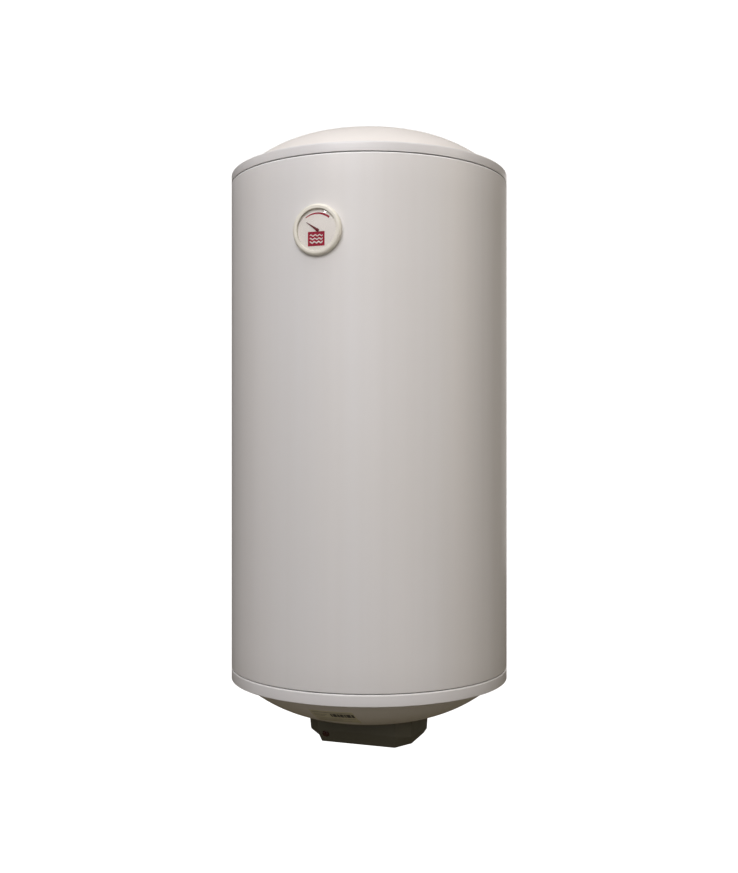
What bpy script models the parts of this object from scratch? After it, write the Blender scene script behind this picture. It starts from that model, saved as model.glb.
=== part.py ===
"""Wall-hung electric storage water heater of about 100 litres, as an assembly of its separate pieces.

Metres, +Z up. The wall is the plane y = 0 and the heater hangs in front of it, facing -Y.
The origin is the centre of the upper bracket's wall face.
"""

import math

import bmesh
import bpy
import numpy as np
from mathutils import Matrix, Vector

# ---- Driving sizes, in metres ----
CASING_RADIUS = 0.225
CASING_HEIGHT = 0.783  # from one rim's shoulder to the other's
CASING_WALL = 0.0008
WALL_GAP = 0.015  # from the casing to the wall
BRACKET_DROP = 0.160  # from each rim's shoulder to the nearer bracket's middle
BRACKET_WIDTH = 0.300
BRACKET_HEIGHT = 0.050
BRACKET_THICK = 0.003
BRACKET_LEG_AT = 0.070
LEG_CLEAR = 0.001
SLOT_AT = 0.120
SLOT_WIDTH = 0.010
SLOT_HEIGHT = 0.024

SEAM_GAP = 0.0012  # shadow gap between a rim and the casing
TOP_RIM_HEIGHT = 0.0150
BOTTOM_RIM_HEIGHT = 0.0184
RIM_BAND = 0.0135  # the ledge left around the end cover
TOP_RIM_ROUND = 0.003
BOTTOM_RIM_ROUND = 0.0015
RIM_TONGUE = 0.012  # depth of the rim inside the casing
TOP_RISE = 0.0640  # of the end cover over its rim
BOTTOM_RISE = 0.0640
COVER_POWER = 2.95  # the higher, the flatter the crown and the tighter the shoulder
COVER_WALL = 0.002
COVER_SKIRT = 0.006
SERVICE_GAP = 0.0025  # from the flange to the edge of the bottom cover's service opening

TANK_RADIUS = 0.200
TANK_WALL = 0.002
TANK_INSET = 0.050  # from each rim's shoulder to the tank shell's end
HEAD_DEPTH = 0.075
HEAD_LAP = 0.015  # how far a head slides into the shell

COLLAR_RADIUS = 0.0385  # clear opening into the tank
COLLAR_WALL = 0.0035
COLLAR_INSIDE = 0.010  # how far the collar stands up inside the tank's bottom head
FLANGE_RADIUS = 0.0575
FLANGE_THICK = 0.006
FLANGE_RECESS = 0.0264  # from the bottom cover's lowest level up to the collar's flange
GASKET_THICK = 0.003
PLATE_THICK = 0.005
BOLT_COUNT = 6
BOLT_CIRCLE = 0.0495
BOLT_RADIUS = 0.004
BOLT_HEAD = 0.013  # across the flats
BOLT_HEAD_THICK = 0.0053
BOLT_PAST_COLLAR = 0.003

PIPE_SPACING = 0.100
PIPE_BACK = 0.090  # from the tank's axis towards the wall
PIPE_RADIUS = 0.0105
PIPE_BORE = 0.0075
PIPE_BELOW = 0.0256  # from the bottom cover's lowest level to the pipes' ends
PIPE_INSIDE = 0.025  # how far a nipple stands up inside the tank
RISER_RADIUS = 0.0068
RISER_WALL = 0.001
RISER_TOP_GAP = 0.030
RISER_LAP = 0.018  # how far the riser slides into its nipple
PIPE_CHAMFER = 0.0015
DIFFUSER_WALL = 0.0035
DIFFUSER_LAP = 0.012
DIFFUSER_RISE = 0.016  # over the nipple's end
DIFFUSER_ROOF = 0.002
DIFFUSER_SLOT = (0.030, 0.0035)
RING_RADIUS = 0.0175
RING_THICK = 0.004
RING_NECK = 0.0025  # wall of the ring's neck

ELEMENT_RADIUS = 0.00425
ELEMENT_SPREAD = 0.020
ELEMENT_FORWARD = 0.020
ELEMENT_HEIGHT = 0.260
ELEMENT_TAIL = 0.012
EARTH_SCREW_AT = (0.022, -0.039)
EARTH_SCREW_RADIUS = 0.0035
EARTH_SCREW_HEAD = 0.003
POCKET_RADIUS = 0.0055
POCKET_WALL = 0.001
POCKET_HEIGHT = 0.240
POCKET_LIP = 0.003  # how far the pocket stands below the plate
ROD_TOP_GAP = 0.012  # from the thermostat's stem to the pocket's end
ANODE_RADIUS = 0.011
ANODE_LENGTH = 0.300
ANODE_BACK = 0.026
ANODE_STUD = 0.0035
ANODE_STUD_PAST = 0.010
ANODE_NUT = (0.0072, 0.005)  # radius over its corners, thickness

HOUSING_FRONT = 0.064  # from the tank's axis to the control cover's front
HOUSING_BACK = 0.0645
HOUSING_SIDE = 0.086  # half its width
HOUSING_CHEEK = 0.0210  # cut off each front corner
HOUSING_NOTCH = 0.0185  # cut off each back corner
HOUSING_BELOW = 0.0376  # from the bottom cover's lowest level to the control cover's underside
HOUSING_DRAFT = 0.075  # outward lean of its front and side walls
BEVEL_FRONT = 0.0205  # height of the bevel around the underside
BEVEL_CHEEK = 0.0160
BEVEL_BACK = 0.0085
BEVEL_IN_FRONT = 0.010
BEVEL_IN_SIDE = 0.006
BASE_CHEEK = (0.018, 0.034)  # cut off the underside's front corners
HOUSING_WALL = 0.0025
HOUSING_FOLD = 0.3  # share of its wall by which the inside's crease lies higher than the outside's
HOUSING_SCREW_IN = 0.0260  # from the control cover's side to its screws
HOUSING_SCREW_BACK = 0.0450
HOUSING_SCREW_HOLE = 0.0022
SCREW_HEAD_RADIUS = 0.0036
SCREW_HEAD_THICK = 0.0022
SCREW_CROWN = 0.0010
SCREW_SHANK = 0.0015
SCREW_LENGTH = 0.014
SCREW_POINT = 0.002
POST_RADIUS = 0.0045
POST_HOLE = 0.0019
GLAND_AT = 0.030  # from the tank's axis towards the right
GLAND_BORE = 0.0045
GLAND_NECK = 0.0080
GLAND_SHOULDER = 0.0105
GLAND_NOSE = 0.0085
GLAND_REACH = 0.0120
GLAND_TAPER_FROM = 0.0060
GLAND_INSIDE = 0.0060
GLAND_UP = 0.003  # from the bevel to its shoulder
GLAND_NUT = (0.0115, 0.004)  # radius over its corners, thickness

THERMOSTAT_SIZE = (0.056, 0.042, 0.027)
THERMOSTAT_FORWARD = 0.008  # its middle, ahead of the tank's axis
THERMOSTAT_CHAMFER = 0.003
THERMOSTAT_SOCKET = 0.007  # depth of the spindle's and the button's holes
BLADE_SIZE = (0.0063, 0.0008, 0.0085)  # an element's terminal blade
BLADE_WASHER = 0.8  # share of the element's radius
SPINDLE_RADIUS = 0.003
KNOB_RADIUS = 0.019
KNOB_THICK = 0.010
KNOB_SUNK = 0.003  # how far the knob sits up in the control cover
KNOB_CLEAR = 0.001
KNOB_EDGE = 0.0015
KNOB_DRAFT = 0.0020  # by which the knob's face is narrower than its skirt
KNOB_ON_SPINDLE = 0.002  # thickness of the knob under its spindle
GRIP_RISE = 0.003
GRIP_WIDTH = 0.007
GRIP_MARGIN = 0.005  # from the grip's ends to the knob's edge
BUTTON_RADIUS = 0.0024
BUTTON_REACH = 0.003
BUTTON_EDGE = 0.0006
BUTTON_AT = 0.0238
BUTTON_TRAVEL = 0.002
LAMP_RADIUS = 0.0059
LAMP_IN = 0.0335  # from the control cover's left side
LAMP_DOWN = 0.0064  # from the bevel's upper edge to the lamp's middle
LAMP_LENS = 0.0020
LAMP_LIP = 0.001
LAMP_DEPTH = 0.0035  # of the lens behind the bevel
LAMP_BODY_LENGTH = 0.016

BLOCK_SIZE = (0.018, 0.032, 0.014)  # terminal block
BLOCK_AT = (0.055, 0.006)
BLOCK_LIFT = 0.004  # over the thermostat's underside
WIRE_RADIUS = 0.0013
LAMP_WIRE_RADIUS = 0.0011

LABEL_WIDTH = 0.069
LABEL_SHIFT = 0.0055  # of its middle towards the right
LABEL_INNER = 0.1525  # from the tank's axis
LABEL_OUTER = 0.1935
LABEL_THICK = 0.0003

GAUGE_DROP = 0.1117  # from the top shoulder to the thermometer's middle
GAUGE_RADIUS = 0.0375
GAUGE_FACE = 0.0315
GAUGE_REACH = 0.0074  # from the casing to the bezel's front
GAUGE_SHOULDER = 0.0030  # where the bezel's flank starts to lean in
GAUGE_FLANK = (0.0035, 0.0012, 0.0052)  # inward at the front, and inward and level halfway
GAUGE_LIP = 0.0010  # how far the bezel reaches over the lens
GAUGE_CUP = 0.0270
GAUGE_CUP_DEPTH = 0.016
GAUGE_CUP_WALL = 0.0015
DIAL_THICK = 0.0008
DIAL_LEVEL = 0.0026
NEEDLE_LEVEL = 0.0037
NEEDLE_THICK = 0.0006
NEEDLE_ROOT = 0.0019  # half its width at the hub
NEEDLE_TIP = 0.0002
NEEDLE_LENGTH = 0.0200
NEEDLE_REST = math.radians(55)
HUB_RADIUS = 0.0026
HUB_THICK = 0.0012
LENS_LEVEL = 0.0053
LENS_THICK = 0.0010
SPACER_WALL = 0.0012
SHAFT_RADIUS = 0.0008
SHAFT_LIFT = 0.004  # from the cup's back to the shaft's end
COIL_TURNS = 3.5
COIL_STEPS = 44
COIL_RADII = (0.003, 0.010)
COIL_STRIP = (0.0005, 0.003)
COIL_LIFT = 0.005
STEM_RADIUS = 0.0025
STEM_IN_CUP = 0.002

FIT = 0.0004  # clearance between pieces that sit in or on each other
FOAM_GAP = 0.0010
OVERCUT = 0.005  # how far a cutter passes what it cuts
OUTER_SEGMENTS = 40
INNER_SEGMENTS = 28
FLANGE_SEGMENTS = 32
GAUGE_SEGMENTS = 32
SCRIBE_SEGMENTS = 96
KNOB_SEGMENTS = 24
SMALL_SEGMENTS = 16
TINY_SEGMENTS = 12

# ---- Places that follow from the sizes ----
AXIS_TO_WALL = CASING_RADIUS + WALL_GAP
TOP_Z = BRACKET_DROP
BOTTOM_Z = TOP_Z - CASING_HEIGHT
BELLY = BOTTOM_RIM_HEIGHT + BOTTOM_RISE  # how far the bottom cover bulges under the shoulder
FLANGE_DROP = BELLY - FLANGE_RECESS
PIPE_DROP = BELLY + PIPE_BELOW
HOUSING_DROP = BELLY + HOUSING_BELOW
COVER_RADIUS = CASING_RADIUS - RIM_BAND
SERVICE_RADIUS = FLANGE_RADIUS + SERVICE_GAP
HOUSING_SCREW_AT = (HOUSING_SIDE - HOUSING_SCREW_IN, HOUSING_SCREW_BACK)
LAMP_AT = LAMP_IN - HOUSING_SIDE
HEAD_RADIUS = TANK_RADIUS - TANK_WALL - FIT
SHELL_TOP = TOP_Z - TANK_INSET
SHELL_BOTTOM = BOTTOM_Z + TANK_INSET
COLLAR_FLANGE_Z = BOTTOM_Z - FLANGE_DROP
GASKET_Z = COLLAR_FLANGE_Z - FLANGE_THICK - FIT
PLATE_Z = GASKET_Z - GASKET_THICK - FIT
PLATE_UNDER = PLATE_Z - PLATE_THICK
ELEMENT_END = PLATE_UNDER - ELEMENT_TAIL
HOUSING_UNDER = BOTTOM_Z - HOUSING_DROP
THERMOSTAT_TOP = ELEMENT_END - 0.0015
THERMOSTAT_LOW = THERMOSTAT_TOP - THERMOSTAT_SIZE[2]
GAUGE_Z = TOP_Z - GAUGE_DROP

# name: (colour, roughness, metallic)
FINISHES = {
    "casing_paint": ((0.80, 0.79, 0.78), 0.35, 0.0),
    "rim_plastic": ((0.82, 0.81, 0.81), 0.40, 0.0),
    "cover_cream": ((0.88, 0.84, 0.79), 0.45, 0.0),
    "housing_grey": ((0.13, 0.125, 0.11), 0.50, 0.0),
    "gauge_cream": ((0.88, 0.86, 0.78), 0.35, 0.0),
    "dial_print": ((0.86, 0.84, 0.79), 0.50, 0.0),
    "needle_red": ((0.55, 0.03, 0.06), 0.45, 0.0),
    "clear_lens": ((0.95, 0.95, 0.95), 0.05, 0.0),
    "lamp_red": ((0.30, 0.02, 0.02), 0.20, 0.0),
    "tank_enamel": ((0.10, 0.13, 0.20), 0.30, 0.0),
    "bare_steel": ((0.62, 0.61, 0.60), 0.35, 1.0),
    "zinc_steel": ((0.70, 0.70, 0.68), 0.40, 1.0),
    "copper_sheath": ((0.72, 0.43, 0.30), 0.35, 1.0),
    "magnesium": ((0.55, 0.55, 0.56), 0.60, 1.0),
    "foam": ((0.86, 0.78, 0.52), 0.90, 0.0),
    "gasket_rubber": ((0.04, 0.04, 0.04), 0.80, 0.0),
    "black_plastic": ((0.05, 0.05, 0.05), 0.50, 0.0),
    "white_plastic": ((0.80, 0.80, 0.78), 0.45, 0.0),
    "knob_grey": ((0.30, 0.30, 0.29), 0.45, 0.0),
    "mark_blue": ((0.03, 0.14, 0.55), 0.40, 0.0),
    "mark_red": ((0.60, 0.04, 0.04), 0.40, 0.0),
    "wire_brown": ((0.22, 0.09, 0.04), 0.50, 0.0),
    "wire_blue": ((0.04, 0.14, 0.50), 0.50, 0.0),
    "wire_earth": ((0.20, 0.42, 0.08), 0.50, 0.0),
    "label_paper": ((0.82, 0.80, 0.70), 0.60, 0.0),
}


# ---- Modelling helpers ----
def material(finish):
    """The Principled material of a finish, made once."""
    made = bpy.data.materials.get(finish)
    if made is None:
        colour, roughness, metallic = FINISHES[finish]
        made = bpy.data.materials.new(finish)
        made.use_nodes = True
        shader = made.node_tree.nodes["Principled BSDF"]
        shader.inputs["Base Color"].default_value = (*colour, 1.0)
        shader.inputs["Roughness"].default_value = roughness
        shader.inputs["Metallic"].default_value = metallic
    return made


def empty(name, location=(0, 0, 0), rotation=(0, 0, 0), parent=None):
    """A named place that pieces are parented to."""
    obj = bpy.data.objects.new(name, None)
    bpy.context.scene.collection.objects.link(obj)
    obj.location = location
    obj.rotation_euler = rotation
    obj.parent = parent
    return obj


def piece(name, bm, finish, parent, sharp=35):
    """Turns a bmesh into a smooth-shaded object with its finish."""
    bmesh.ops.recalc_face_normals(bm, faces=bm.faces)
    mesh = bpy.data.meshes.new(name)
    bm.to_mesh(mesh)
    bm.free()
    mesh.shade_smooth()
    mesh.set_sharp_from_angle(angle=math.radians(sharp))
    obj = bpy.data.objects.new(name, mesh)
    bpy.context.scene.collection.objects.link(obj)
    obj.parent = parent
    if finish:
        mesh.materials.append(material(finish))
    return obj


def lathe(name, profile, finish, parent, segments=SMALL_SEGMENTS, at=(0, 0)):
    """A turned solid from (radius, height) points. It closes on itself unless both ends are on the axis."""
    bm = bmesh.new()
    verts = [bm.verts.new((radius, 0, height)) for radius, height in profile]
    edges = [bm.edges.new(pair) for pair in zip(verts, verts[1:])]
    if profile[0][0] > 0 or profile[-1][0] > 0:
        edges.append(bm.edges.new((verts[-1], verts[0])))
    bmesh.ops.spin(
        bm, geom=verts + edges, cent=(0, 0, 0), axis=(0, 0, 1), angle=math.tau, steps=segments, use_merge=True
    )
    bmesh.ops.remove_doubles(bm, verts=bm.verts, dist=1e-6)
    bmesh.ops.translate(bm, verts=bm.verts, vec=(at[0], at[1], 0))
    return piece(name, bm, finish, parent)


def rod(name, radius, low, high, finish, parent, segments=SMALL_SEGMENTS, at=(0, 0)):
    """A plain round bar."""
    return lathe(name, [(0, low), (radius, low), (radius, high), (0, high)], finish, parent, segments, at)


def prism(name, outline, low, high, finish, parent):
    """A flat outline of (x, y) points, extruded from low to high."""
    bm = bmesh.new()
    face = bm.faces.new([bm.verts.new((x, y, low)) for x, y in outline])
    grown = bmesh.ops.extrude_face_region(bm, geom=[face])
    top = [v for v in grown["geom"] if isinstance(v, bmesh.types.BMVert)]
    bmesh.ops.translate(bm, verts=top, vec=(0, 0, high - low))
    return piece(name, bm, finish, parent, sharp=20)


def loft(name, sections, finish, parent):
    """A solid through outlines of equally many 3D points, closed by the first and the last."""
    bm = bmesh.new()
    rows = [[bm.verts.new(point) for point in outline] for outline in sections]
    loops = [[bm.edges.new(pair) for pair in zip(row, row[1:] + row[:1])] for row in rows]
    for lower, upper in zip(loops, loops[1:]):
        bmesh.ops.bridge_loops(bm, edges=lower + upper)
    bm.faces.new(rows[0])
    bm.faces.new(rows[-1])
    return piece(name, bm, finish, parent, sharp=15)


def raised(outline, height):
    """A flat outline as 3D points at one height."""
    return [(x, y, height) for x, y in outline]


def tube(name, points, radius, finish, parent, sides=2):
    """A round tube along points, as a bevelled curve with filled caps."""
    curve = bpy.data.curves.new(name, "CURVE")
    curve.dimensions = "3D"
    curve.bevel_depth = radius
    curve.bevel_resolution = sides
    curve.use_fill_caps = True
    spline = curve.splines.new("POLY")
    spline.points.add(len(points) - 1)
    for point, place in zip(spline.points, points):
        point.co = (*place, 1)
    curve.materials.append(material(finish))
    obj = bpy.data.objects.new(name, curve)
    bpy.context.scene.collection.objects.link(obj)
    obj.parent = parent
    return obj


def smooth_path(knots, steps):
    """Points along a Catmull-Rom curve through the knots."""
    knots = [Vector(k) for k in knots]
    ends = [2 * knots[0] - knots[1], *knots, 2 * knots[-1] - knots[-2]]
    path = []
    for a, b, c, d in zip(ends, ends[1:], ends[2:], ends[3:]):
        for i in range(steps):
            t = i / steps
            curved = (2 * a - 5 * b + 4 * c - d) * t**2 + (3 * b - 3 * c + d - a) * t**3
            path.append(0.5 * (2 * b + (c - a) * t + curved))
    return [*path, knots[-1]]


def boolean(obj, other, operation):
    """Adds an exact Boolean and hides the other object as a helper."""
    modifier = obj.modifiers.new(other.name, "BOOLEAN")
    modifier.operation = operation
    modifier.solver = "EXACT"
    modifier.object = other
    other.hide_render = True
    other.display_type = "WIRE"


def cut(obj, *cutters):
    for cutter in cutters:
        boolean(obj, cutter, "DIFFERENCE")
    return obj


def join(obj, *others):
    for other in others:
        boolean(obj, other, "UNION")
    return obj


def oblong(width, height, centre=(0, 0), steps=8):
    """Outline of a slot with round ends, its long side along y."""
    radius = width / 2
    half = height / 2 - radius
    points = []
    for end, start in ((half, 0), (-half, math.pi)):
        for i in range(steps + 1):
            angle = start + math.pi * i / steps
            points.append((centre[0] + radius * math.cos(angle), centre[1] + end + radius * math.sin(angle)))
    return points


def box_outline(half_x, half_y, centre=(0, 0)):
    corners = ((-1, -1), (1, -1), (1, 1), (-1, 1))
    return [(centre[0] + sx * half_x, centre[1] + sy * half_y) for sx, sy in corners]


def polygon(radius, count, centre=(0, 0), start=0.0):
    angles = [start + math.tau * i / count for i in range(count)]
    return [(centre[0] + radius * math.cos(a), centre[1] + radius * math.sin(a)) for a in angles]


# ---- Outer shell ----
def cover_height(radius, top, inset=0.0):
    """Height of an end cover's surface over the casing's shoulder, inset from its outside."""
    rim_height, rise = (TOP_RIM_HEIGHT, TOP_RISE) if top else (BOTTOM_RIM_HEIGHT, BOTTOM_RISE)
    return rim_height - inset + rise * (1 - (radius / (COVER_RADIUS - inset)) ** COVER_POWER)


def cover_curve(top, inset=0.0, inner_radius=0.0, steps=6):
    """(radius, height) points of an end cover from inner_radius outwards, closer together at the shoulder."""
    edge = COVER_RADIUS - inset
    start = (inner_radius / edge) ** (1 / 0.65)
    radii = [edge * (start + (1 - start) * i / steps) ** 0.65 for i in range(steps + 1)]
    return [(radius, cover_height(radius, top, inset)) for radius in radii]


def ends(profile, top):
    """Moves a profile measured outwards from a shoulder to the top end or, mirrored, to the bottom end."""
    return [(r, TOP_Z + h) if top else (r, BOTTOM_Z - h) for r, h in profile]


def rim(name, top, axis):
    """End rim: a band flush with the casing, with a tongue inside the casing and a round outer edge."""
    height = TOP_RIM_HEIGHT if top else BOTTOM_RIM_HEIGHT
    rounding = TOP_RIM_ROUND if top else BOTTOM_RIM_ROUND
    wide = CASING_RADIUS - rounding
    arc = [math.pi / 2 * i / 3 for i in range(4)]
    outside = [(wide + rounding * math.cos(a), height - rounding * (1 - math.sin(a))) for a in arc]
    inner = COVER_RADIUS + FIT
    tongue = CASING_RADIUS - CASING_WALL - FIT * 2
    inside = [(inner, height), (inner, -RIM_TONGUE), (tongue, -RIM_TONGUE), (tongue, FIT)]
    profile = ends([(CASING_RADIUS, FIT), *outside, *inside], top)
    return lathe(name, profile, "rim_plastic", axis, OUTER_SEGMENTS)


def end_cover(name, top, axis, inner_radius=0.0):
    """Domed end cover with a short skirt inside the rim."""
    outer = cover_curve(top, 0, inner_radius)
    inner = cover_curve(top, COVER_WALL, inner_radius)
    skirt = [(COVER_RADIUS, -COVER_SKIRT), (COVER_RADIUS - COVER_WALL, -COVER_SKIRT)]
    return lathe(name, ends([*outer, *skirt, *reversed(inner)], top), "cover_cream", axis, OUTER_SEGMENTS)


def bottom_cover(axis):
    """Lower end cover with a service opening, two pipe holes and two posts for the control cover's screws."""
    cover = end_cover("bottom_cover", False, axis, SERVICE_RADIUS)
    screw_x, screw_y = HOUSING_SCREW_AT
    surface = BOTTOM_Z - cover_height(math.hypot(screw_x, screw_y) + POST_RADIUS, False) + COVER_WALL / 2
    post_end = HOUSING_UNDER + HOUSING_WALL + FIT
    hole_low = post_end - OVERCUT
    hole_high = post_end + SCREW_LENGTH
    pipe_hole = PIPE_RADIUS + RING_NECK + FIT
    pipe_low = BOTTOM_Z - PIPE_DROP
    for side in (-1, 1):
        at = (side * screw_x, screw_y)
        join(cover, rod(f"post_{side}", POST_RADIUS, post_end, surface, None, axis, TINY_SEGMENTS, at))
        cut(cover, rod(f"post_hole_{side}", POST_HOLE, hole_low, hole_high, None, axis, TINY_SEGMENTS, at))
        at = (side * PIPE_SPACING / 2, PIPE_BACK)
        name = f"cover_pipe_hole_{side}"
        cut(cover, rod(name, pipe_hole, pipe_low, BOTTOM_Z, None, axis, SMALL_SEGMENTS, at))
    return cover


def outer_casing(axis, leg_cutters):
    """Rolled sheet jacket, with slits for the bracket legs and a hole for the thermometer."""
    inner = CASING_RADIUS - CASING_WALL
    low = BOTTOM_Z - FIT + SEAM_GAP
    high = TOP_Z + FIT - SEAM_GAP
    profile = [(CASING_RADIUS, low), (CASING_RADIUS, high), (inner, high), (inner, low)]
    return cut(lathe("outer_casing", profile, "casing_paint", axis, OUTER_SEGMENTS), *leg_cutters)


# ---- Inner tank ----
def head_curve(offset, inner_radius=0.0, steps=4):
    """(radius, depth below the head's rim) points of a domed head, from inner_radius out to its edge."""
    edge = HEAD_RADIUS + offset
    start = math.asin(inner_radius / edge)
    angles = [start + (math.pi / 2 - start) * i / steps for i in range(steps + 1)]
    return [(edge * math.sin(a), (HEAD_DEPTH + offset) * math.cos(a)) for a in angles]


def tank_head(name, top, axis, inner_radius=0.0):
    outer = head_curve(0, inner_radius)
    inner = head_curve(-TANK_WALL, inner_radius)
    profile = [*outer, (HEAD_RADIUS, -HEAD_LAP), (HEAD_RADIUS - TANK_WALL, -HEAD_LAP), *reversed(inner)]
    profile = [(r, h - TANK_INSET) for r, h in profile]
    return lathe(name, ends(profile, top), "tank_enamel", axis, INNER_SEGMENTS)


def tank_shell(axis):
    inner = TANK_RADIUS - TANK_WALL
    low, high = SHELL_BOTTOM, SHELL_TOP
    profile = [(TANK_RADIUS, low), (TANK_RADIUS, high), (inner, high), (inner, low)]
    return lathe("tank_shell", profile, "tank_enamel", axis, INNER_SEGMENTS)


def foam_insulation(axis, leg_cutters):
    """Foamed-in insulation between the tank and the outer shell, with a well around the flange."""
    edge = COVER_RADIUS - COVER_WALL - FOAM_GAP
    outside = CASING_RADIUS - CASING_WALL - FOAM_GAP
    well = SERVICE_RADIUS
    step = -RIM_TONGUE - FOAM_GAP
    crown = ends(cover_curve(True, COVER_WALL + FOAM_GAP), True)
    belly = ends(cover_curve(False, COVER_WALL + FOAM_GAP, well), False)
    head_top = [(r, h - TANK_INSET) for r, h in head_curve(FOAM_GAP)]
    head_bottom = [(r, h - TANK_INSET) for r, h in head_curve(FOAM_GAP, well)]
    shoulder = TANK_RADIUS + FOAM_GAP
    profile = [
        *crown,
        (edge, TOP_Z + step),
        (outside, TOP_Z + step),
        (outside, BOTTOM_Z - step),
        (edge, BOTTOM_Z - step),
        *reversed(belly),
        *ends(head_bottom, False),
        (shoulder, SHELL_BOTTOM - FOAM_GAP),
        (shoulder, SHELL_TOP + FOAM_GAP),
        *reversed(ends(head_top, True)),
    ]
    foam = lathe("foam_insulation", profile, "foam", axis, INNER_SEGMENTS)
    hole = PIPE_RADIUS + RING_NECK + FOAM_GAP
    low = BOTTOM_Z - PIPE_DROP
    for side in (-1, 1):
        at = (side * PIPE_SPACING / 2, PIPE_BACK)
        cut(foam, rod(f"foam_pipe_hole_{side}", hole, low, SHELL_BOTTOM, None, axis, SMALL_SEGMENTS, at))
    return cut(foam, *leg_cutters)


def flange_collar(axis):
    """Welded neck of the tank's service opening, with the drilled ring that the flange bolts to."""
    outer = COLLAR_RADIUS + COLLAR_WALL
    weld_z = SHELL_BOTTOM - HEAD_DEPTH + COLLAR_INSIDE
    under = COLLAR_FLANGE_Z - FLANGE_THICK
    profile = [
        (COLLAR_RADIUS, under), (FLANGE_RADIUS, under), (FLANGE_RADIUS, COLLAR_FLANGE_Z),
        (outer, COLLAR_FLANGE_Z), (outer, weld_z), (COLLAR_RADIUS, weld_z),
    ]
    collar = lathe("flange_collar", profile, "zinc_steel", axis, FLANGE_SEGMENTS)
    return cut(collar, *bolt_holes("collar_hole", under, COLLAR_FLANGE_Z, axis))


def bolt_places():
    return polygon(BOLT_CIRCLE, BOLT_COUNT, start=math.pi / BOLT_COUNT)


def bolt_holes(name, low, high, axis):
    """Cutters for the bolts through a plate between two levels."""
    return [
        rod(f"{name}_{i}", BOLT_RADIUS + FIT, low - OVERCUT, high + OVERCUT, None, axis, TINY_SEGMENTS, at)
        for i, at in enumerate(bolt_places())
    ]


def pipe_places():
    """Where the water pipes run, and how high they pass through the tank's bottom head."""
    span = math.hypot(PIPE_SPACING / 2, PIPE_BACK)
    bulge = HEAD_DEPTH * math.sqrt(1 - (span / HEAD_RADIUS) ** 2)
    return span, bulge


def pipes(axis):
    """Cold inlet with its diffuser and hot outlet with its riser, each nipple with a coloured ring."""
    span, bulge = pipe_places()
    low = BOTTOM_Z - PIPE_DROP
    high = SHELL_BOTTOM - bulge + PIPE_INSIDE
    nipple = [
        (PIPE_BORE, low), (PIPE_RADIUS - PIPE_CHAMFER, low), (PIPE_RADIUS, low + PIPE_CHAMFER),
        (PIPE_RADIUS, high), (PIPE_BORE, high),
    ]
    # A ring's neck reaches up through the hole that the sloping cover has around the pipe.
    ring_top = BOTTOM_Z - cover_height(span - RING_RADIUS, False) - FIT
    ring_low = ring_top - RING_THICK
    neck_top = BOTTOM_Z - cover_height(span + RING_RADIUS, False) + COVER_WALL
    inner = PIPE_RADIUS + FIT
    neck = PIPE_RADIUS + RING_NECK
    ring = [
        (inner, ring_low), (RING_RADIUS, ring_low), (RING_RADIUS, ring_top),
        (neck, ring_top), (neck, neck_top), (inner, neck_top),
    ]
    for side, name, mark in ((1, "cold_inlet", "mark_blue"), (-1, "hot_outlet", "mark_red")):
        at = (side * PIPE_SPACING / 2, PIPE_BACK)
        lathe(f"{name}_nipple", nipple, "zinc_steel", axis, SMALL_SEGMENTS, at)
        lathe(f"{name}_ring", ring, mark, axis, SMALL_SEGMENTS, at)
    riser_low = high - RISER_LAP
    riser_top = SHELL_TOP + bulge - RISER_TOP_GAP
    bore = RISER_RADIUS - RISER_WALL
    riser = [(bore, riser_low), (RISER_RADIUS, riser_low), (RISER_RADIUS, riser_top), (bore, riser_top)]
    lathe("hot_riser_tube", riser, "bare_steel", axis, TINY_SEGMENTS, (-PIPE_SPACING / 2, PIPE_BACK))
    inlet_diffuser(axis, high)


def inlet_diffuser(axis, pipe_top):
    """Cap on the inlet that turns the water sideways through its slots."""
    at = (PIPE_SPACING / 2, PIPE_BACK)
    cap = PIPE_RADIUS + DIFFUSER_WALL
    grip = PIPE_RADIUS + FIT
    base = pipe_top - DIFFUSER_LAP
    crown = pipe_top + DIFFUSER_RISE
    roof = crown - DIFFUSER_ROOF
    profile = [(grip, base), (cap, base), (cap, crown), (0, crown), (0, roof), (grip, roof)]
    diffuser = lathe("inlet_diffuser", profile, "white_plastic", axis, SMALL_SEGMENTS, at)
    slot_low = pipe_top + DIFFUSER_RISE * 0.2
    slot_high = pipe_top + DIFFUSER_RISE * 0.7
    cut(diffuser, prism("diffuser_slot", box_outline(*DIFFUSER_SLOT, at), slot_low, slot_high, None, axis))


def tank_bottom_head(axis):
    head = tank_head("tank_bottom_head", False, axis, COLLAR_RADIUS + COLLAR_WALL + FIT)
    low = SHELL_BOTTOM - HEAD_DEPTH
    hole = PIPE_RADIUS + FIT
    for side in (-1, 1):
        at = (side * PIPE_SPACING / 2, PIPE_BACK)
        cut(head, rod(f"head_pipe_hole_{side}", hole, low, SHELL_BOTTOM, None, axis, SMALL_SEGMENTS, at))
    return head


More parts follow.
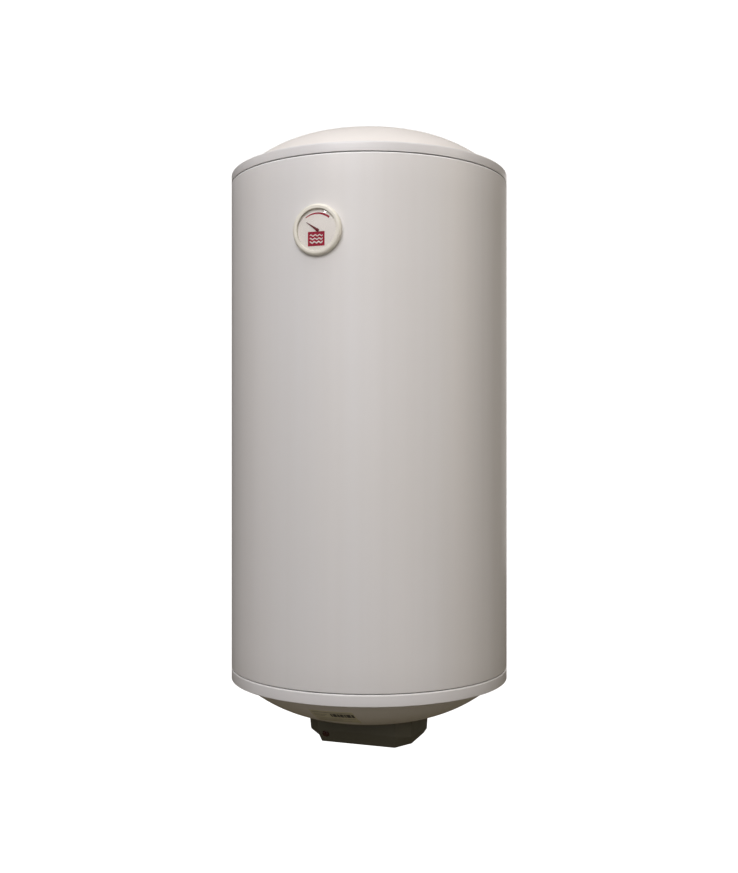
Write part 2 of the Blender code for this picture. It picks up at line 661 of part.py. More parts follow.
# ---- Wall brackets ----
def bracket(name, z, axis):
    """Hanger of folded plate: a slotted wall face and two legs welded edge-on to the tank shell."""
    wall = AXIS_TO_WALL
    face = wall - BRACKET_THICK
    outside = BRACKET_LEG_AT + BRACKET_THICK / 2
    inside = BRACKET_LEG_AT - BRACKET_THICK / 2
    tip = math.sqrt(TANK_RADIUS**2 - inside**2) + FIT
    half = BRACKET_WIDTH / 2
    right = [(half, wall), (half, face), (outside, face), (outside, tip), (inside, tip), (inside, face)]
    outline = right + [(-x, y) for x, y in reversed(right)]
    plate = prism(name, outline, z - BRACKET_HEIGHT / 2, z + BRACKET_HEIGHT / 2, "zinc_steel", axis)
    slot = oblong(SLOT_WIDTH, SLOT_HEIGHT)
    reach = BRACKET_THICK + OVERCUT
    for side in (-1, 1):
        place = empty(f"{name}_slot_place_{side}", (side * SLOT_AT, face, z), (math.pi / 2, 0, 0), axis)
        cut(plate, prism(f"{name}_slot_{side}", slot, -reach, reach, None, place))
    return plate


def leg_cutters(axis):
    """Slits for the bracket legs, shared by the casing and the foam."""
    made = []
    inside = math.sqrt(TANK_RADIUS**2 - (BRACKET_LEG_AT + BRACKET_THICK) ** 2)
    middle = (inside + CASING_RADIUS) / 2
    half_depth = (CASING_RADIUS - inside) / 2
    half_width = BRACKET_THICK / 2 + LEG_CLEAR
    half_height = BRACKET_HEIGHT / 2 + LEG_CLEAR
    for row, z in enumerate((TOP_Z - BRACKET_DROP, BOTTOM_Z + BRACKET_DROP)):
        for side in (-1, 1):
            outline = box_outline(half_width, half_depth, (side * BRACKET_LEG_AT, middle))
            name = f"leg_slit_{row}_{side}"
            made.append(prism(name, outline, z - half_height, z + half_height, None, axis))
    return made


# ---- Heating flange ----
def flange_parts(axis):
    """Gasket, cover plate and bolts of the service opening."""
    under = GASKET_Z - GASKET_THICK
    wide, narrow = FLANGE_RADIUS, COLLAR_RADIUS
    ring = [(narrow, under), (wide, under), (wide, GASKET_Z), (narrow, GASKET_Z)]
    gasket = lathe("flange_gasket", ring, "gasket_rubber", axis, FLANGE_SEGMENTS)
    cut(gasket, *bolt_holes("gasket_hole", under, GASKET_Z, axis))
    plate = rod("flange_plate", FLANGE_RADIUS, PLATE_UNDER, PLATE_Z, "zinc_steel", axis, FLANGE_SEGMENTS)
    cut(plate, *bolt_holes("plate_hole", PLATE_UNDER, PLATE_Z, axis))
    low = PLATE_UNDER - OVERCUT
    high = PLATE_Z + OVERCUT
    for name, radius, at in (
        ("plate_element_hole_left", ELEMENT_RADIUS, (-ELEMENT_SPREAD, -ELEMENT_FORWARD)),
        ("plate_element_hole_right", ELEMENT_RADIUS, (ELEMENT_SPREAD, -ELEMENT_FORWARD)),
        ("plate_pocket_hole", POCKET_RADIUS, (0, 0)),
        ("plate_anode_hole", ANODE_STUD, (0, ANODE_BACK)),
    ):
        cut(plate, rod(name, radius + FIT, low, high, None, axis, SMALL_SEGMENTS, at))
    head_top = PLATE_UNDER - FIT
    head_low = head_top - BOLT_HEAD_THICK
    shank_low = head_top - BOLT_HEAD_THICK / 2
    shank_top = COLLAR_FLANGE_Z + BOLT_PAST_COLLAR
    for i, at in enumerate(bolt_places()):
        hexagon = polygon(BOLT_HEAD / math.sqrt(3), 6, at)
        head = prism(f"flange_bolt_{i + 1}", hexagon, head_low, head_top, "zinc_steel", axis)
        join(head, rod(f"bolt_shank_{i}", BOLT_RADIUS, shank_low, shank_top, None, axis, TINY_SEGMENTS, at))


def heating_element(axis):
    """Hairpin of sheathed heating tube, with both tails through the plate."""
    top = PLATE_UNDER + ELEMENT_HEIGHT
    y = -ELEMENT_FORWARD
    arc = [math.pi * i / 10 for i in range(11)]
    bend = [(ELEMENT_SPREAD * math.cos(a), y, top + ELEMENT_SPREAD * math.sin(a)) for a in arc]
    points = [(ELEMENT_SPREAD, y, ELEMENT_END), *bend, (-ELEMENT_SPREAD, y, ELEMENT_END)]
    tube("heating_element", points, ELEMENT_RADIUS, "copper_sheath", axis)
    width, thick, length = BLADE_SIZE
    high = ELEMENT_END - FIT
    washer = ELEMENT_RADIUS * BLADE_WASHER
    for side, name in ((-1, "element_terminal_left"), (1, "element_terminal_right")):
        at = (side * ELEMENT_SPREAD, y)
        outline = box_outline(width / 2, thick / 2, at)
        blade = prism(name, outline, high - length, high - thick / 4, "zinc_steel", axis)
        join(blade, rod(f"{name}_washer", washer, high - thick, high, None, axis, TINY_SEGMENTS, at))


def thermostat_pocket(axis):
    """Closed tube that keeps the thermostat's stem dry."""
    low = PLATE_UNDER - POCKET_LIP
    top = PLATE_UNDER + POCKET_HEIGHT
    roof = top - POCKET_WALL
    bore = POCKET_RADIUS - POCKET_WALL
    profile = [(0, top), (POCKET_RADIUS, top), (POCKET_RADIUS, low), (bore, low), (bore, roof), (0, roof)]
    return lathe("thermostat_pocket", profile, "bare_steel", axis, TINY_SEGMENTS)


def anode(axis):
    """Magnesium rod on a stud through the plate, held by a nut."""
    at = (0, ANODE_BACK)
    seat = PLATE_Z + FIT
    top = seat + ANODE_LENGTH
    tip = PLATE_UNDER - ANODE_STUD_PAST
    stud = [(0, tip), (ANODE_STUD, tip), (ANODE_STUD, seat)]
    profile = [*stud, (ANODE_RADIUS, seat), (ANODE_RADIUS, top), (0, top)]
    lathe("anode_rod", profile, "magnesium", axis, SMALL_SEGMENTS, at)
    corner, thick = ANODE_NUT
    nut_top = PLATE_UNDER - FIT
    nut_low = nut_top - thick
    nut = prism("anode_nut", polygon(corner, 6, at), nut_low, nut_top, "zinc_steel", axis)
    bore = ANODE_STUD + FIT
    cut(nut, rod("anode_nut_bore", bore, nut_low - OVERCUT, nut_top + OVERCUT, None, axis, TINY_SEGMENTS, at))


# ---- Control housing ----
def housing_plan(front, side, cheek, rises=(0, 0, 0)):
    """Corner points of the control cover, anticlockwise from the right front one, with their heights."""
    half = [
        (side - cheek[0], -front, rises[0]),
        (side, cheek[1] - front, rises[1]),
        (side, HOUSING_BACK - HOUSING_NOTCH, rises[2]),
        (side - HOUSING_NOTCH, HOUSING_BACK, rises[2]),
    ]
    return [Vector(p) for p in half] + [Vector((-x, y, z)) for x, y, z in reversed(half)]


def inset(outline, distance):
    """The outline with each of its sides moved inwards, its corners' heights as they were."""
    moved = []
    for before, point, after in zip(outline[-1:] + outline[:-1], outline, outline[1:] + outline[:1]):
        one = (point - before).xy.normalized().orthogonal()
        two = (after - point).xy.normalized().orthogonal()
        shift = (one + two) * distance / (1 + one.dot(two))
        moved.append(point + shift.to_3d())
    return moved


def control_cover(axis):
    """Moulded cover of the controls. It fits up to the bottom cover and is open at the top."""
    cheek = (HOUSING_CHEEK, HOUSING_CHEEK)
    roof_rise = HOUSING_DROP - BOTTOM_RIM_HEIGHT - BOTTOM_RISE / 2
    lean = (roof_rise - BEVEL_CHEEK) * HOUSING_DRAFT
    base = housing_plan(HOUSING_FRONT - BEVEL_IN_FRONT, HOUSING_SIDE - BEVEL_IN_SIDE, BASE_CHEEK)
    crease = housing_plan(HOUSING_FRONT, HOUSING_SIDE, cheek, (BEVEL_FRONT, BEVEL_CHEEK, BEVEL_BACK))
    roof = housing_plan(HOUSING_FRONT + lean, HOUSING_SIDE + lean, cheek, (roof_rise,) * 3)
    floor = [p + Vector((0, 0, HOUSING_WALL)) for p in inset(base, HOUSING_WALL)]
    fold = [p + Vector((0, 0, HOUSING_WALL * HOUSING_FOLD)) for p in inset(crease, HOUSING_WALL)]
    mouth = [p + Vector((0, 0, OVERCUT)) for p in inset(roof, HOUSING_WALL)]
    place = empty("housing_place", (0, 0, HOUSING_UNDER), parent=axis)
    cover = loft("control_cover", (base, crease, roof), "housing_grey", place)
    hollow = loft("control_cover_hollow", (floor, fold, mouth), None, place)
    # The upper edge follows the bottom cover's outer surface with a small gap.
    scribe = [(r, h + FIT) for r, h in cover_curve(False, 0, SERVICE_RADIUS)]
    scribe.insert(0, (0, scribe[0][1]))
    scribe += [(scribe[-1][0], -OVERCUT), (0, -OVERCUT)]
    dome = lathe("control_cover_scribe", ends(scribe, False), None, axis, OUTER_SEGMENTS)
    cut(cover, hollow, dome)
    low = HOUSING_UNDER - OVERCUT
    high = HOUSING_UNDER + HOUSING_WALL + OVERCUT
    hole = HOUSING_SCREW_HOLE
    for side in (-1, 1):
        at = (side * HOUSING_SCREW_AT[0], HOUSING_SCREW_AT[1])
        cut(cover, rod(f"cover_screw_hole_{side}", hole, low, high, None, axis, TINY_SEGMENTS, at))
    return cut(cover, rod("cover_knob_hole", KNOB_RADIUS + KNOB_CLEAR, low, high, None, axis, KNOB_SEGMENTS))


def cover_screws(axis):
    """Two pan-head screws from below into the bottom cover's posts."""
    seat = HOUSING_UNDER - FIT
    face = seat - SCREW_HEAD_THICK
    tip = seat + SCREW_LENGTH
    profile = [
        (0, face), (SCREW_HEAD_RADIUS * 0.6, face), (SCREW_HEAD_RADIUS, seat - SCREW_CROWN),
        (SCREW_HEAD_RADIUS, seat), (SCREW_SHANK, seat), (SCREW_SHANK, tip - SCREW_POINT), (0, tip),
    ]
    screw_x, screw_y = HOUSING_SCREW_AT
    for side, name in ((-1, "cover_screw_left"), (1, "cover_screw_right")):
        lathe(name, profile, "zinc_steel", axis, TINY_SEGMENTS, (side * screw_x, screw_y))


def lamp_place(axis):
    """A frame on the front bevel at the lamp, its z pointing out of the cover."""
    slope = Vector((BEVEL_IN_FRONT, -BEVEL_FRONT))
    y, rise = Vector((-HOUSING_FRONT, BEVEL_FRONT)) + slope.normalized() * LAMP_DOWN
    lean = math.atan2(BEVEL_IN_FRONT, BEVEL_FRONT)
    return empty("lamp_place", (LAMP_AT, y, HOUSING_UNDER + rise), (math.pi / 2 + lean, 0, 0), axis)


def pilot_lamp(cover, place):
    """Neon pilot lamp: a red lens with a lip outside the cover, and its body behind."""
    bore = LAMP_RADIUS - LAMP_LIP
    cut(cover, rod("cover_lamp_hole", bore + FIT, -2 * OVERCUT, 2 * OVERCUT, None, place, SMALL_SEGMENTS))
    profile = [
        (0, -LAMP_DEPTH), (bore, -LAMP_DEPTH), (bore, FIT), (LAMP_RADIUS, FIT), (LAMP_RADIUS, LAMP_LIP),
        (LAMP_RADIUS * 0.7, LAMP_LENS), (0, LAMP_LENS * 1.4),
    ]
    lathe("pilot_lamp_lens", profile, "lamp_red", place, SMALL_SEGMENTS)
    body_top = -LAMP_DEPTH - FIT
    rod("pilot_lamp_body", bore, body_top - LAMP_BODY_LENGTH, body_top, "white_plastic", place, TINY_SEGMENTS)


def cable_gland(cover, axis):
    """Strain-relief gland for the supply cable through the control cover's back wall, with its lock nut."""
    z = HOUSING_UNDER + BEVEL_BACK + GLAND_UP + GLAND_SHOULDER
    place = empty("gland_place", (GLAND_AT, HOUSING_BACK, z), (-math.pi / 2, 0, 0), axis)
    hole = GLAND_NECK + FIT
    cut(cover, rod("cover_gland_hole", hole, -2 * OVERCUT, 2 * OVERCUT, None, place, SMALL_SEGMENTS))
    inside = -HOUSING_WALL - GLAND_INSIDE
    profile = [
        (GLAND_BORE, inside), (GLAND_NECK, inside), (GLAND_NECK, FIT), (GLAND_SHOULDER, FIT),
        (GLAND_SHOULDER, GLAND_TAPER_FROM), (GLAND_NOSE, GLAND_REACH), (GLAND_BORE, GLAND_REACH),
    ]
    lathe("cable_gland", profile, "black_plastic", place, SMALL_SEGMENTS)
    corner, thick = GLAND_NUT
    high = -HOUSING_WALL - FIT
    hexagon = polygon(corner, 6, start=math.pi / 6)
    nut = prism("gland_nut", hexagon, high - thick, high, "black_plastic", place)
    cut(nut, rod("gland_nut_bore", hole, high - thick - OVERCUT, high + OVERCUT, None, place, SMALL_SEGMENTS))


def thermostat(axis):
    """Rod thermostat plugged on the element's blades, with holes for its spindle and its cut-out's button."""
    width, depth, _ = THERMOSTAT_SIZE
    high = THERMOSTAT_TOP
    low = THERMOSTAT_LOW
    middle = (0, -THERMOSTAT_FORWARD)
    chamfer = THERMOSTAT_CHAMFER
    wide = box_outline(width / 2, depth / 2, middle)
    narrow = box_outline(width / 2 - chamfer / 3, depth / 2 - chamfer, middle)
    sections = (raised(narrow, low), raised(wide, low + chamfer), raised(wide, high))
    body = loft("thermostat_body", sections, "black_plastic", axis)
    under = low - OVERCUT
    socket = low + THERMOSTAT_SOCKET
    button = BUTTON_RADIUS + FIT
    cut(
        body,
        rod("thermostat_spindle_hole", SPINDLE_RADIUS + FIT, under, socket, None, axis, TINY_SEGMENTS),
        rod("thermostat_button_hole", button, under, socket, None, axis, TINY_SEGMENTS, (BUTTON_AT, 0)),
    )
    for side in (-1, 1):
        at = (side * ELEMENT_SPREAD, -ELEMENT_FORWARD)
        slot = box_outline(BLADE_SIZE[0] / 2 + FIT, BLADE_SIZE[1] / 2 + FIT, at)
        cut(body, prism(f"blade_slot_{side}", slot, high - BLADE_SIZE[2], high + OVERCUT, None, axis))
    stem = POCKET_RADIUS - POCKET_WALL * 2
    stem_top = PLATE_UNDER + POCKET_HEIGHT - ROD_TOP_GAP
    rod("thermostat_rod", stem, high + FIT, stem_top, "bare_steel", axis, TINY_SEGMENTS)


def setting_knob(axis):
    """Setting knob with its grip, on the spindle that turns in the thermostat."""
    high = HOUSING_UNDER + KNOB_SUNK
    low = high - KNOB_THICK
    seat = low + KNOB_ON_SPINDLE
    spindle_top = THERMOSTAT_LOW + THERMOSTAT_SOCKET - FIT
    rod("thermostat_spindle", SPINDLE_RADIUS, seat, spindle_top, "white_plastic", axis, TINY_SEGMENTS)
    shoulder = KNOB_RADIUS - KNOB_EDGE
    face = [(0, low), (shoulder - KNOB_DRAFT, low), (shoulder, low + KNOB_EDGE)]
    profile = [*face, (KNOB_RADIUS, high), (0, high)]
    knob = lathe("thermostat_knob", profile, "knob_grey", axis, KNOB_SEGMENTS)
    grip = oblong(GRIP_WIDTH, 2 * (KNOB_RADIUS - GRIP_MARGIN), steps=6)
    join(knob, prism("knob_grip", grip, low - GRIP_RISE, low + KNOB_THICK / 2, None, axis))
    cut(knob, rod("knob_bore", SPINDLE_RADIUS + FIT, seat - FIT, high + OVERCUT, None, axis, TINY_SEGMENTS))


def reset_button(axis):
    """Red button of the safety cut-out, with room to be pushed in."""
    low = THERMOSTAT_LOW
    tip = low - BUTTON_REACH
    top = low + THERMOSTAT_SOCKET - BUTTON_TRAVEL - FIT
    face = BUTTON_RADIUS - BUTTON_EDGE
    profile = [(0, tip), (face, tip), (BUTTON_RADIUS, tip + BUTTON_EDGE), (BUTTON_RADIUS, top), (0, top)]
    lathe("reset_button", profile, "mark_red", axis, TINY_SEGMENTS, (BUTTON_AT, 0))


def wiring(axis):
    """Terminal block, earth screw and the wires from the block to the thermostat and the earth screw."""
    width, depth, height = BLOCK_SIZE
    block_low = THERMOSTAT_LOW + BLOCK_LIFT
    outline = box_outline(width / 2, depth / 2, BLOCK_AT)
    prism("terminal_block", outline, block_low, block_low + height, "white_plastic", axis)
    middle = block_low + height / 2
    start = THERMOSTAT_SIZE[0] / 2 + FIT
    end = BLOCK_AT[0] - width / 2 - FIT
    for name, finish, y in (("live_wire", "wire_brown", -0.004), ("neutral_wire", "wire_blue", 0.006)):
        knots = [(x, y, middle) for x in (start, start + 0.006, end - 0.006, end)]
        tube(name, smooth_path(knots, 3), WIRE_RADIUS, finish, axis, sides=1)
    screw_x, screw_y = EARTH_SCREW_AT
    screw_top = PLATE_UNDER - FIT
    screw_low = screw_top - EARTH_SCREW_HEAD
    radius = EARTH_SCREW_RADIUS
    rod("earth_screw", radius, screw_low, screw_top, "zinc_steel", axis, TINY_SEGMENTS, EARTH_SCREW_AT)
    wire_high = screw_low - FIT - WIRE_RADIUS
    block_front = BLOCK_AT[1] - depth / 2 - FIT
    knots = [
        (screw_x, screw_y, wire_high),
        (screw_x + 0.006, screw_y - 0.001, wire_high - 0.004),
        (BLOCK_AT[0] - 0.013, screw_y - 0.001, middle + 0.007),
        (BLOCK_AT[0], block_front - 0.016, middle),
        (BLOCK_AT[0], block_front, middle),
    ]
    tube("earth_wire", smooth_path(knots, 4), WIRE_RADIUS, "wire_earth", axis, sides=1)


def lamp_wires(place, axis):
    """The pilot lamp's two leads, from its body to the thermostat's left side."""
    end = Vector((0, 0, -LAMP_DEPTH - 2 * FIT - LAMP_BODY_LENGTH))
    back = place.location + Matrix.Rotation(place.rotation_euler.x, 3, "X") @ end
    into = -THERMOSTAT_SIZE[0] / 2 - FIT
    z = THERMOSTAT_TOP - 0.010
    leads = (("lamp_live_wire", "wire_brown", -0.0025), ("lamp_neutral_wire", "wire_blue", 0.0025))
    for name, finish, shift in leads:
        knots = [
            back + Vector((shift, 0.0003, 0.0003)),
            back + Vector((shift, 0.006, 0.004)),
            Vector((into - 0.010, -0.010 - shift * 2, z)),
            Vector((into, -0.006 - shift * 2, z)),
        ]
        tube(name, smooth_path(knots, 4), LAMP_WIRE_RADIUS, finish, axis, sides=1)


# ---- Rating label ----
def rating_label(axis):
    """Thin sticker on the front of the bottom cover, bent to its surface."""
    columns = 6
    rows = 4
    radii, heights = zip(*cover_curve(False, 0, SERVICE_RADIUS))
    bm = bmesh.new()
    grid = []
    for i in range(columns + 1):
        for j in range(rows + 1):
            radius = LABEL_INNER + (LABEL_OUTER - LABEL_INNER) * j / rows
            angle = -math.pi / 2 + (LABEL_SHIFT + LABEL_WIDTH * (i / columns - 0.5)) / radius
            height = BOTTOM_Z - np.interp(radius, radii, heights) - 2 * FIT
            grid.append(bm.verts.new((radius * math.cos(angle), radius * math.sin(angle), height)))
    for i in range(columns):
        for j in range(rows):
            a = i * (rows + 1) + j
            bm.faces.new((grid[a], grid[a + 1], grid[a + rows + 2], grid[a + rows + 1]))
    sheet = bmesh.ops.extrude_face_region(bm, geom=list(bm.faces))
    lowered = [v for v in sheet["geom"] if isinstance(v, bmesh.types.BMVert)]
    bmesh.ops.translate(bm, verts=lowered, vec=(0, 0, -LABEL_THICK))
    return piece("rating_label", bm, "label_paper", axis)


# ---- Thermometer ----
def gauge_bezel(place, axis):
    """Surround with a leaning flank, scribed to the casing, open in the middle for the dial and its cup."""
    cup = GAUGE_CUP + FIT
    back = -OVERCUT
    seat = DIAL_LEVEL - DIAL_THICK
    over_lens = LENS_LEVEL + LENS_THICK + FIT
    lean, half_lean, half_level = GAUGE_FLANK
    profile = [
        (cup, back), (GAUGE_RADIUS, back), (GAUGE_RADIUS, GAUGE_SHOULDER),
        (GAUGE_RADIUS - half_lean, half_level), (GAUGE_RADIUS - lean, GAUGE_REACH),
        (GAUGE_FACE - GAUGE_LIP, GAUGE_REACH), (GAUGE_FACE - GAUGE_LIP, over_lens),
        (GAUGE_FACE + FIT, over_lens), (GAUGE_FACE + FIT, seat), (cup, seat),
    ]
    bezel = lathe("thermometer_bezel", profile, "gauge_cream", place, GAUGE_SEGMENTS)
    low = GAUGE_Z - GAUGE_RADIUS * 2
    high = GAUGE_Z + GAUGE_RADIUS * 2
    cut(bezel, rod("bezel_scribe", CASING_RADIUS + FIT, low, high, None, axis, SCRIBE_SEGMENTS))


def gauge_cup(place):
    """Cup behind the dial, inside the insulation."""
    back = -GAUGE_CUP_DEPTH
    front = DIAL_LEVEL - DIAL_THICK - FIT
    inner = GAUGE_CUP - GAUGE_CUP_WALL
    floor = back + GAUGE_CUP_WALL
    hole = STEM_RADIUS + FIT
    outside = [(hole, back), (GAUGE_CUP, back), (GAUGE_CUP, front)]
    profile = [*outside, (inner, front), (inner, floor), (hole, floor)]
    lathe("thermometer_cup", profile, "black_plastic", place, KNOB_SEGMENTS)


def gauge_face(place, pivot):
    """Dial, the lens over it and the spacer ring between them."""
    dial_low = DIAL_LEVEL - DIAL_THICK + FIT
    dial_top = DIAL_LEVEL + FIT
    dial = rod("thermometer_dial", GAUGE_FACE, dial_low, dial_top, "dial_print", place, GAUGE_SEGMENTS)
    hole = SHAFT_RADIUS + FIT
    cut(dial, rod("dial_hole", hole, dial_low - OVERCUT, dial_top + OVERCUT, None, pivot, TINY_SEGMENTS))
    lens_top = LENS_LEVEL + LENS_THICK
    rod("thermometer_lens", GAUGE_FACE, LENS_LEVEL, lens_top, "clear_lens", place, GAUGE_SEGMENTS)
    inner = GAUGE_FACE - SPACER_WALL
    low = dial_top + FIT
    high = LENS_LEVEL - FIT
    ring = [(inner, low), (GAUGE_FACE, low), (GAUGE_FACE, high), (inner, high)]
    lathe("lens_spacer_ring", ring, "gauge_cream", place, GAUGE_SEGMENTS)


def gauge_needle(pivot):
    """Tapered needle with its hub and its shaft."""
    low = NEEDLE_LEVEL
    tail = HUB_RADIUS * 1.5
    half = [(NEEDLE_ROOT, 0), (NEEDLE_TIP, NEEDLE_LENGTH)]
    outline = [(NEEDLE_ROOT, -tail), *half, *[(-x, y) for x, y in reversed(half)], (-NEEDLE_ROOT, -tail)]
    needle = prism("thermometer_needle", outline, low, low + NEEDLE_THICK, "needle_red", pivot)
    hub_low = low - NEEDLE_THICK / 6
    shaft_low = SHAFT_LIFT - GAUGE_CUP_DEPTH
    shaft_top = low + NEEDLE_THICK * 0.8
    join(
        needle,
        rod("needle_hub", HUB_RADIUS, hub_low, low + HUB_THICK, None, pivot, SMALL_SEGMENTS),
        rod("needle_shaft", SHAFT_RADIUS, shaft_low, shaft_top, None, pivot, 8),
    )


def bimetal_coil(pivot):
    """Bimetal spiral around the needle's shaft."""
    low = COIL_LIFT - GAUGE_CUP_DEPTH
    inner, outer = COIL_RADII
    thick, height = COIL_STRIP
    bm = bmesh.new()
    rows = []
    for i in range(COIL_STEPS + 1):
        angle = math.tau * COIL_TURNS * i / COIL_STEPS
        radius = inner + (outer - inner) * i / COIL_STEPS
        corners = box_outline(thick / 2, height / 2, (radius, low + height / 2))
        rows.append([bm.verts.new((r * math.cos(angle), r * math.sin(angle), z)) for r, z in corners])
    for one, two in zip(rows, rows[1:]):
        for k in range(4):
            bm.faces.new((one[k], one[(k + 1) % 4], two[(k + 1) % 4], two[k]))
    bm.faces.new(rows[0])
    bm.faces.new(rows[-1])
    piece("bimetal_coil", bm, "copper_sheath", pivot)


def thermometer(place, casing, foam, axis):
    """Dial thermometer on the casing's front. Its own frame has x right, y up and z out of the casing."""
    cup_hole = GAUGE_CUP + FOAM_GAP
    back = -GAUGE_CUP_DEPTH - FOAM_GAP * 3
    cut(casing, rod("casing_gauge_hole", cup_hole, -2 * OVERCUT, OVERCUT, None, place, KNOB_SEGMENTS))
    cut(foam, rod("foam_gauge_hole", cup_hole, back, 2 * OVERCUT, None, place, KNOB_SEGMENTS))
    pivot = empty("needle_pivot", (0, 0, 0), (0, 0, NEEDLE_REST), place)
    gauge_bezel(place, axis)
    gauge_cup(place)
    gauge_face(place, pivot)
    gauge_needle(pivot)
    bimetal_coil(pivot)
    # Heat-collecting stem from the cup to the tank shell.
    stem_end = TANK_RADIUS - CASING_RADIUS + FIT
    stem_top = STEM_IN_CUP + GAUGE_CUP_WALL - GAUGE_CUP_DEPTH
    rod("thermometer_stem", STEM_RADIUS, stem_end, stem_top, "copper_sheath", place, TINY_SEGMENTS)
    hole = STEM_RADIUS + FOAM_GAP
    cut(foam, rod("foam_stem_hole", hole, stem_end - OVERCUT, 0, None, place, TINY_SEGMENTS))


def build():
    for obj in list(bpy.data.objects):
        bpy.data.objects.remove(obj)
    axis = empty("tank_axis", (0, -AXIS_TO_WALL, 0))
    knob_axis = empty("knob_axis", parent=axis)
    gauge = empty("gauge_place", (0, -CASING_RADIUS, GAUGE_Z), (math.pi / 2, 0, 0), axis)

    slits = leg_cutters(axis)
    casing = outer_casing(axis, slits)
    foam = foam_insulation(axis, slits)
    rim("top_rim", True, axis)
    rim("bottom_rim", False, axis)
    end_cover("top_cover", True, axis)
    bottom_cover(axis)
    rating_label(axis)

    tank_shell(axis)
    tank_head("tank_top_head", True, axis)
    pipes(axis)
    tank_bottom_head(axis)
    flange_collar(axis)
    bracket("upper_wall_bracket", TOP_Z - BRACKET_DROP, axis)
    bracket("lower_wall_bracket", BOTTOM_Z + BRACKET_DROP, axis)

    flange_parts(axis)
    heating_element(axis)
    thermostat_pocket(axis)
    anode(axis)

    cover = control_cover(axis)
    cover_screws(axis)
    lamp = lamp_place(axis)
    pilot_lamp(cover, lamp)
    cable_gland(cover, axis)
    thermostat(axis)
    setting_knob(knob_axis)
    reset_button(axis)
    wiring(axis)
    lamp_wires(lamp, axis)
    thermometer(gauge, casing, foam, axis)


build()
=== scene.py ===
"""Looks of the tank water heater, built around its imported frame.

Metres, +Z up, the wall is the plane y = 0 and the heater faces -Y, as in the frame.
"""

import math

import bmesh
import bpy
from mathutils import Matrix, Vector

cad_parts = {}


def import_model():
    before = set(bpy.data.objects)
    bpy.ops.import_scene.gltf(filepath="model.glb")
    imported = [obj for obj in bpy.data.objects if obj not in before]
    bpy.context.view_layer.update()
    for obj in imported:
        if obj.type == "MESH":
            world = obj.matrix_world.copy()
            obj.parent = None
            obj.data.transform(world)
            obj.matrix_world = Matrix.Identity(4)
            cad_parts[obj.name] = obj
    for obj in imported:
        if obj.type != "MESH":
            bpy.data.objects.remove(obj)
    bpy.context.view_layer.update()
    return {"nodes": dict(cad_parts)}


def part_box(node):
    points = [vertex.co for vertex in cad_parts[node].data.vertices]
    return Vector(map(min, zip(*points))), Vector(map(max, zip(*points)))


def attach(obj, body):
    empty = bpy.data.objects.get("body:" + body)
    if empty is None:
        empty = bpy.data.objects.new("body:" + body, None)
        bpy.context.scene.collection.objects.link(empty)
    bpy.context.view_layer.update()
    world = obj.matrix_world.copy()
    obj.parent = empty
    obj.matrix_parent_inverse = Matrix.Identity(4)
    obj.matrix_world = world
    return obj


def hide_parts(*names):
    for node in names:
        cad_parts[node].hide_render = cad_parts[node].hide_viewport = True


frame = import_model()

# ---- Places read from the frame ----
casing_low, casing_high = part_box("outer_casing")
RADIUS = (casing_high.x - casing_low.x) / 2
AXIS_X = (casing_high.x + casing_low.x) / 2
AXIS_Y = (casing_high.y + casing_low.y) / 2
top_rim_low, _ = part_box("top_rim")
_, bottom_rim_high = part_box("bottom_rim")
housing_low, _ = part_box("control_cover")
gauge_low, gauge_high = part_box("thermometer_bezel")

# ---- Sizes shared with the CAD ----
RIM_TONGUE = 0.012
TOP_Z = top_rim_low.z + RIM_TONGUE
BOTTOM_Z = bottom_rim_high.z - RIM_TONGUE
TOP_RIM_HEIGHT = 0.0150
BOTTOM_RIM_HEIGHT = 0.0184
CASING_WALL = 0.0008
COVER_RADIUS = RADIUS - 0.0135
COVER_WALL = 0.002
COVER_POWER = 2.95
TOP_RISE = 0.0640
BOTTOM_RISE = 0.0640
SERVICE_RADIUS = 0.060
FIT = 0.0004
HANGER_THICK = 0.003
HANGER_LEG_AT = 0.070
HANGER_SLOT_AT = 0.120
PIPE_AT = (0.050, 0.090)
PIPE_RADIUS = 0.0105
PIPE_BORE = 0.0075
RING_RADIUS = 0.0175
HOUSING_FRONT = 0.064
HOUSING_BACK = 0.0645
HOUSING_SIDE = 0.086
HOUSING_CHEEK = 0.0210
HOUSING_NOTCH = 0.0185
HOUSING_DRAFT = 0.075
BEVEL_RISE = (0.0205, 0.0160, 0.0085)
BEVEL_IN_FRONT = 0.010
BEVEL_IN_SIDE = 0.006
BASE_CHEEK = (0.018, 0.034)
HOUSING_WALL = 0.0025
HOUSING_SCREW_AT = (0.0600, 0.0450)
HOUSING_UNDER = housing_low.z
GLAND_AT = 0.030
KNOB_RADIUS = 0.019
KNOB_CLEAR = 0.001
LAMP_RADIUS = 0.0059
LAMP_AT = -0.0525
LAMP_DOWN = 0.0064
GAUGE_RADIUS = 0.0375
GAUGE_FACE = 0.0315
GAUGE_REACH = 0.0074
GAUGE_Z = (gauge_low.z + gauge_high.z) / 2
DIAL_LEVEL = 0.0030
LENS_LEVEL = 0.0053
LENS_THICK = 0.0010
NEEDLE_LEVEL = 0.0037
NEEDLE_LENGTH = 0.0200
NEEDLE_REST = math.radians(55)
LABEL_INNER = 0.1525
LABEL_OUTER = 0.1935
LABEL_WIDTH = 0.069
LABEL_SHIFT = 0.0055

AXIS = Matrix.Translation((AXIS_X, AXIS_Y, 0))
GAUGE = Matrix.Translation((AXIS_X, AXIS_Y - RADIUS, GAUGE_Z)) @ Matrix.Rotation(math.pi / 2, 4, "X")


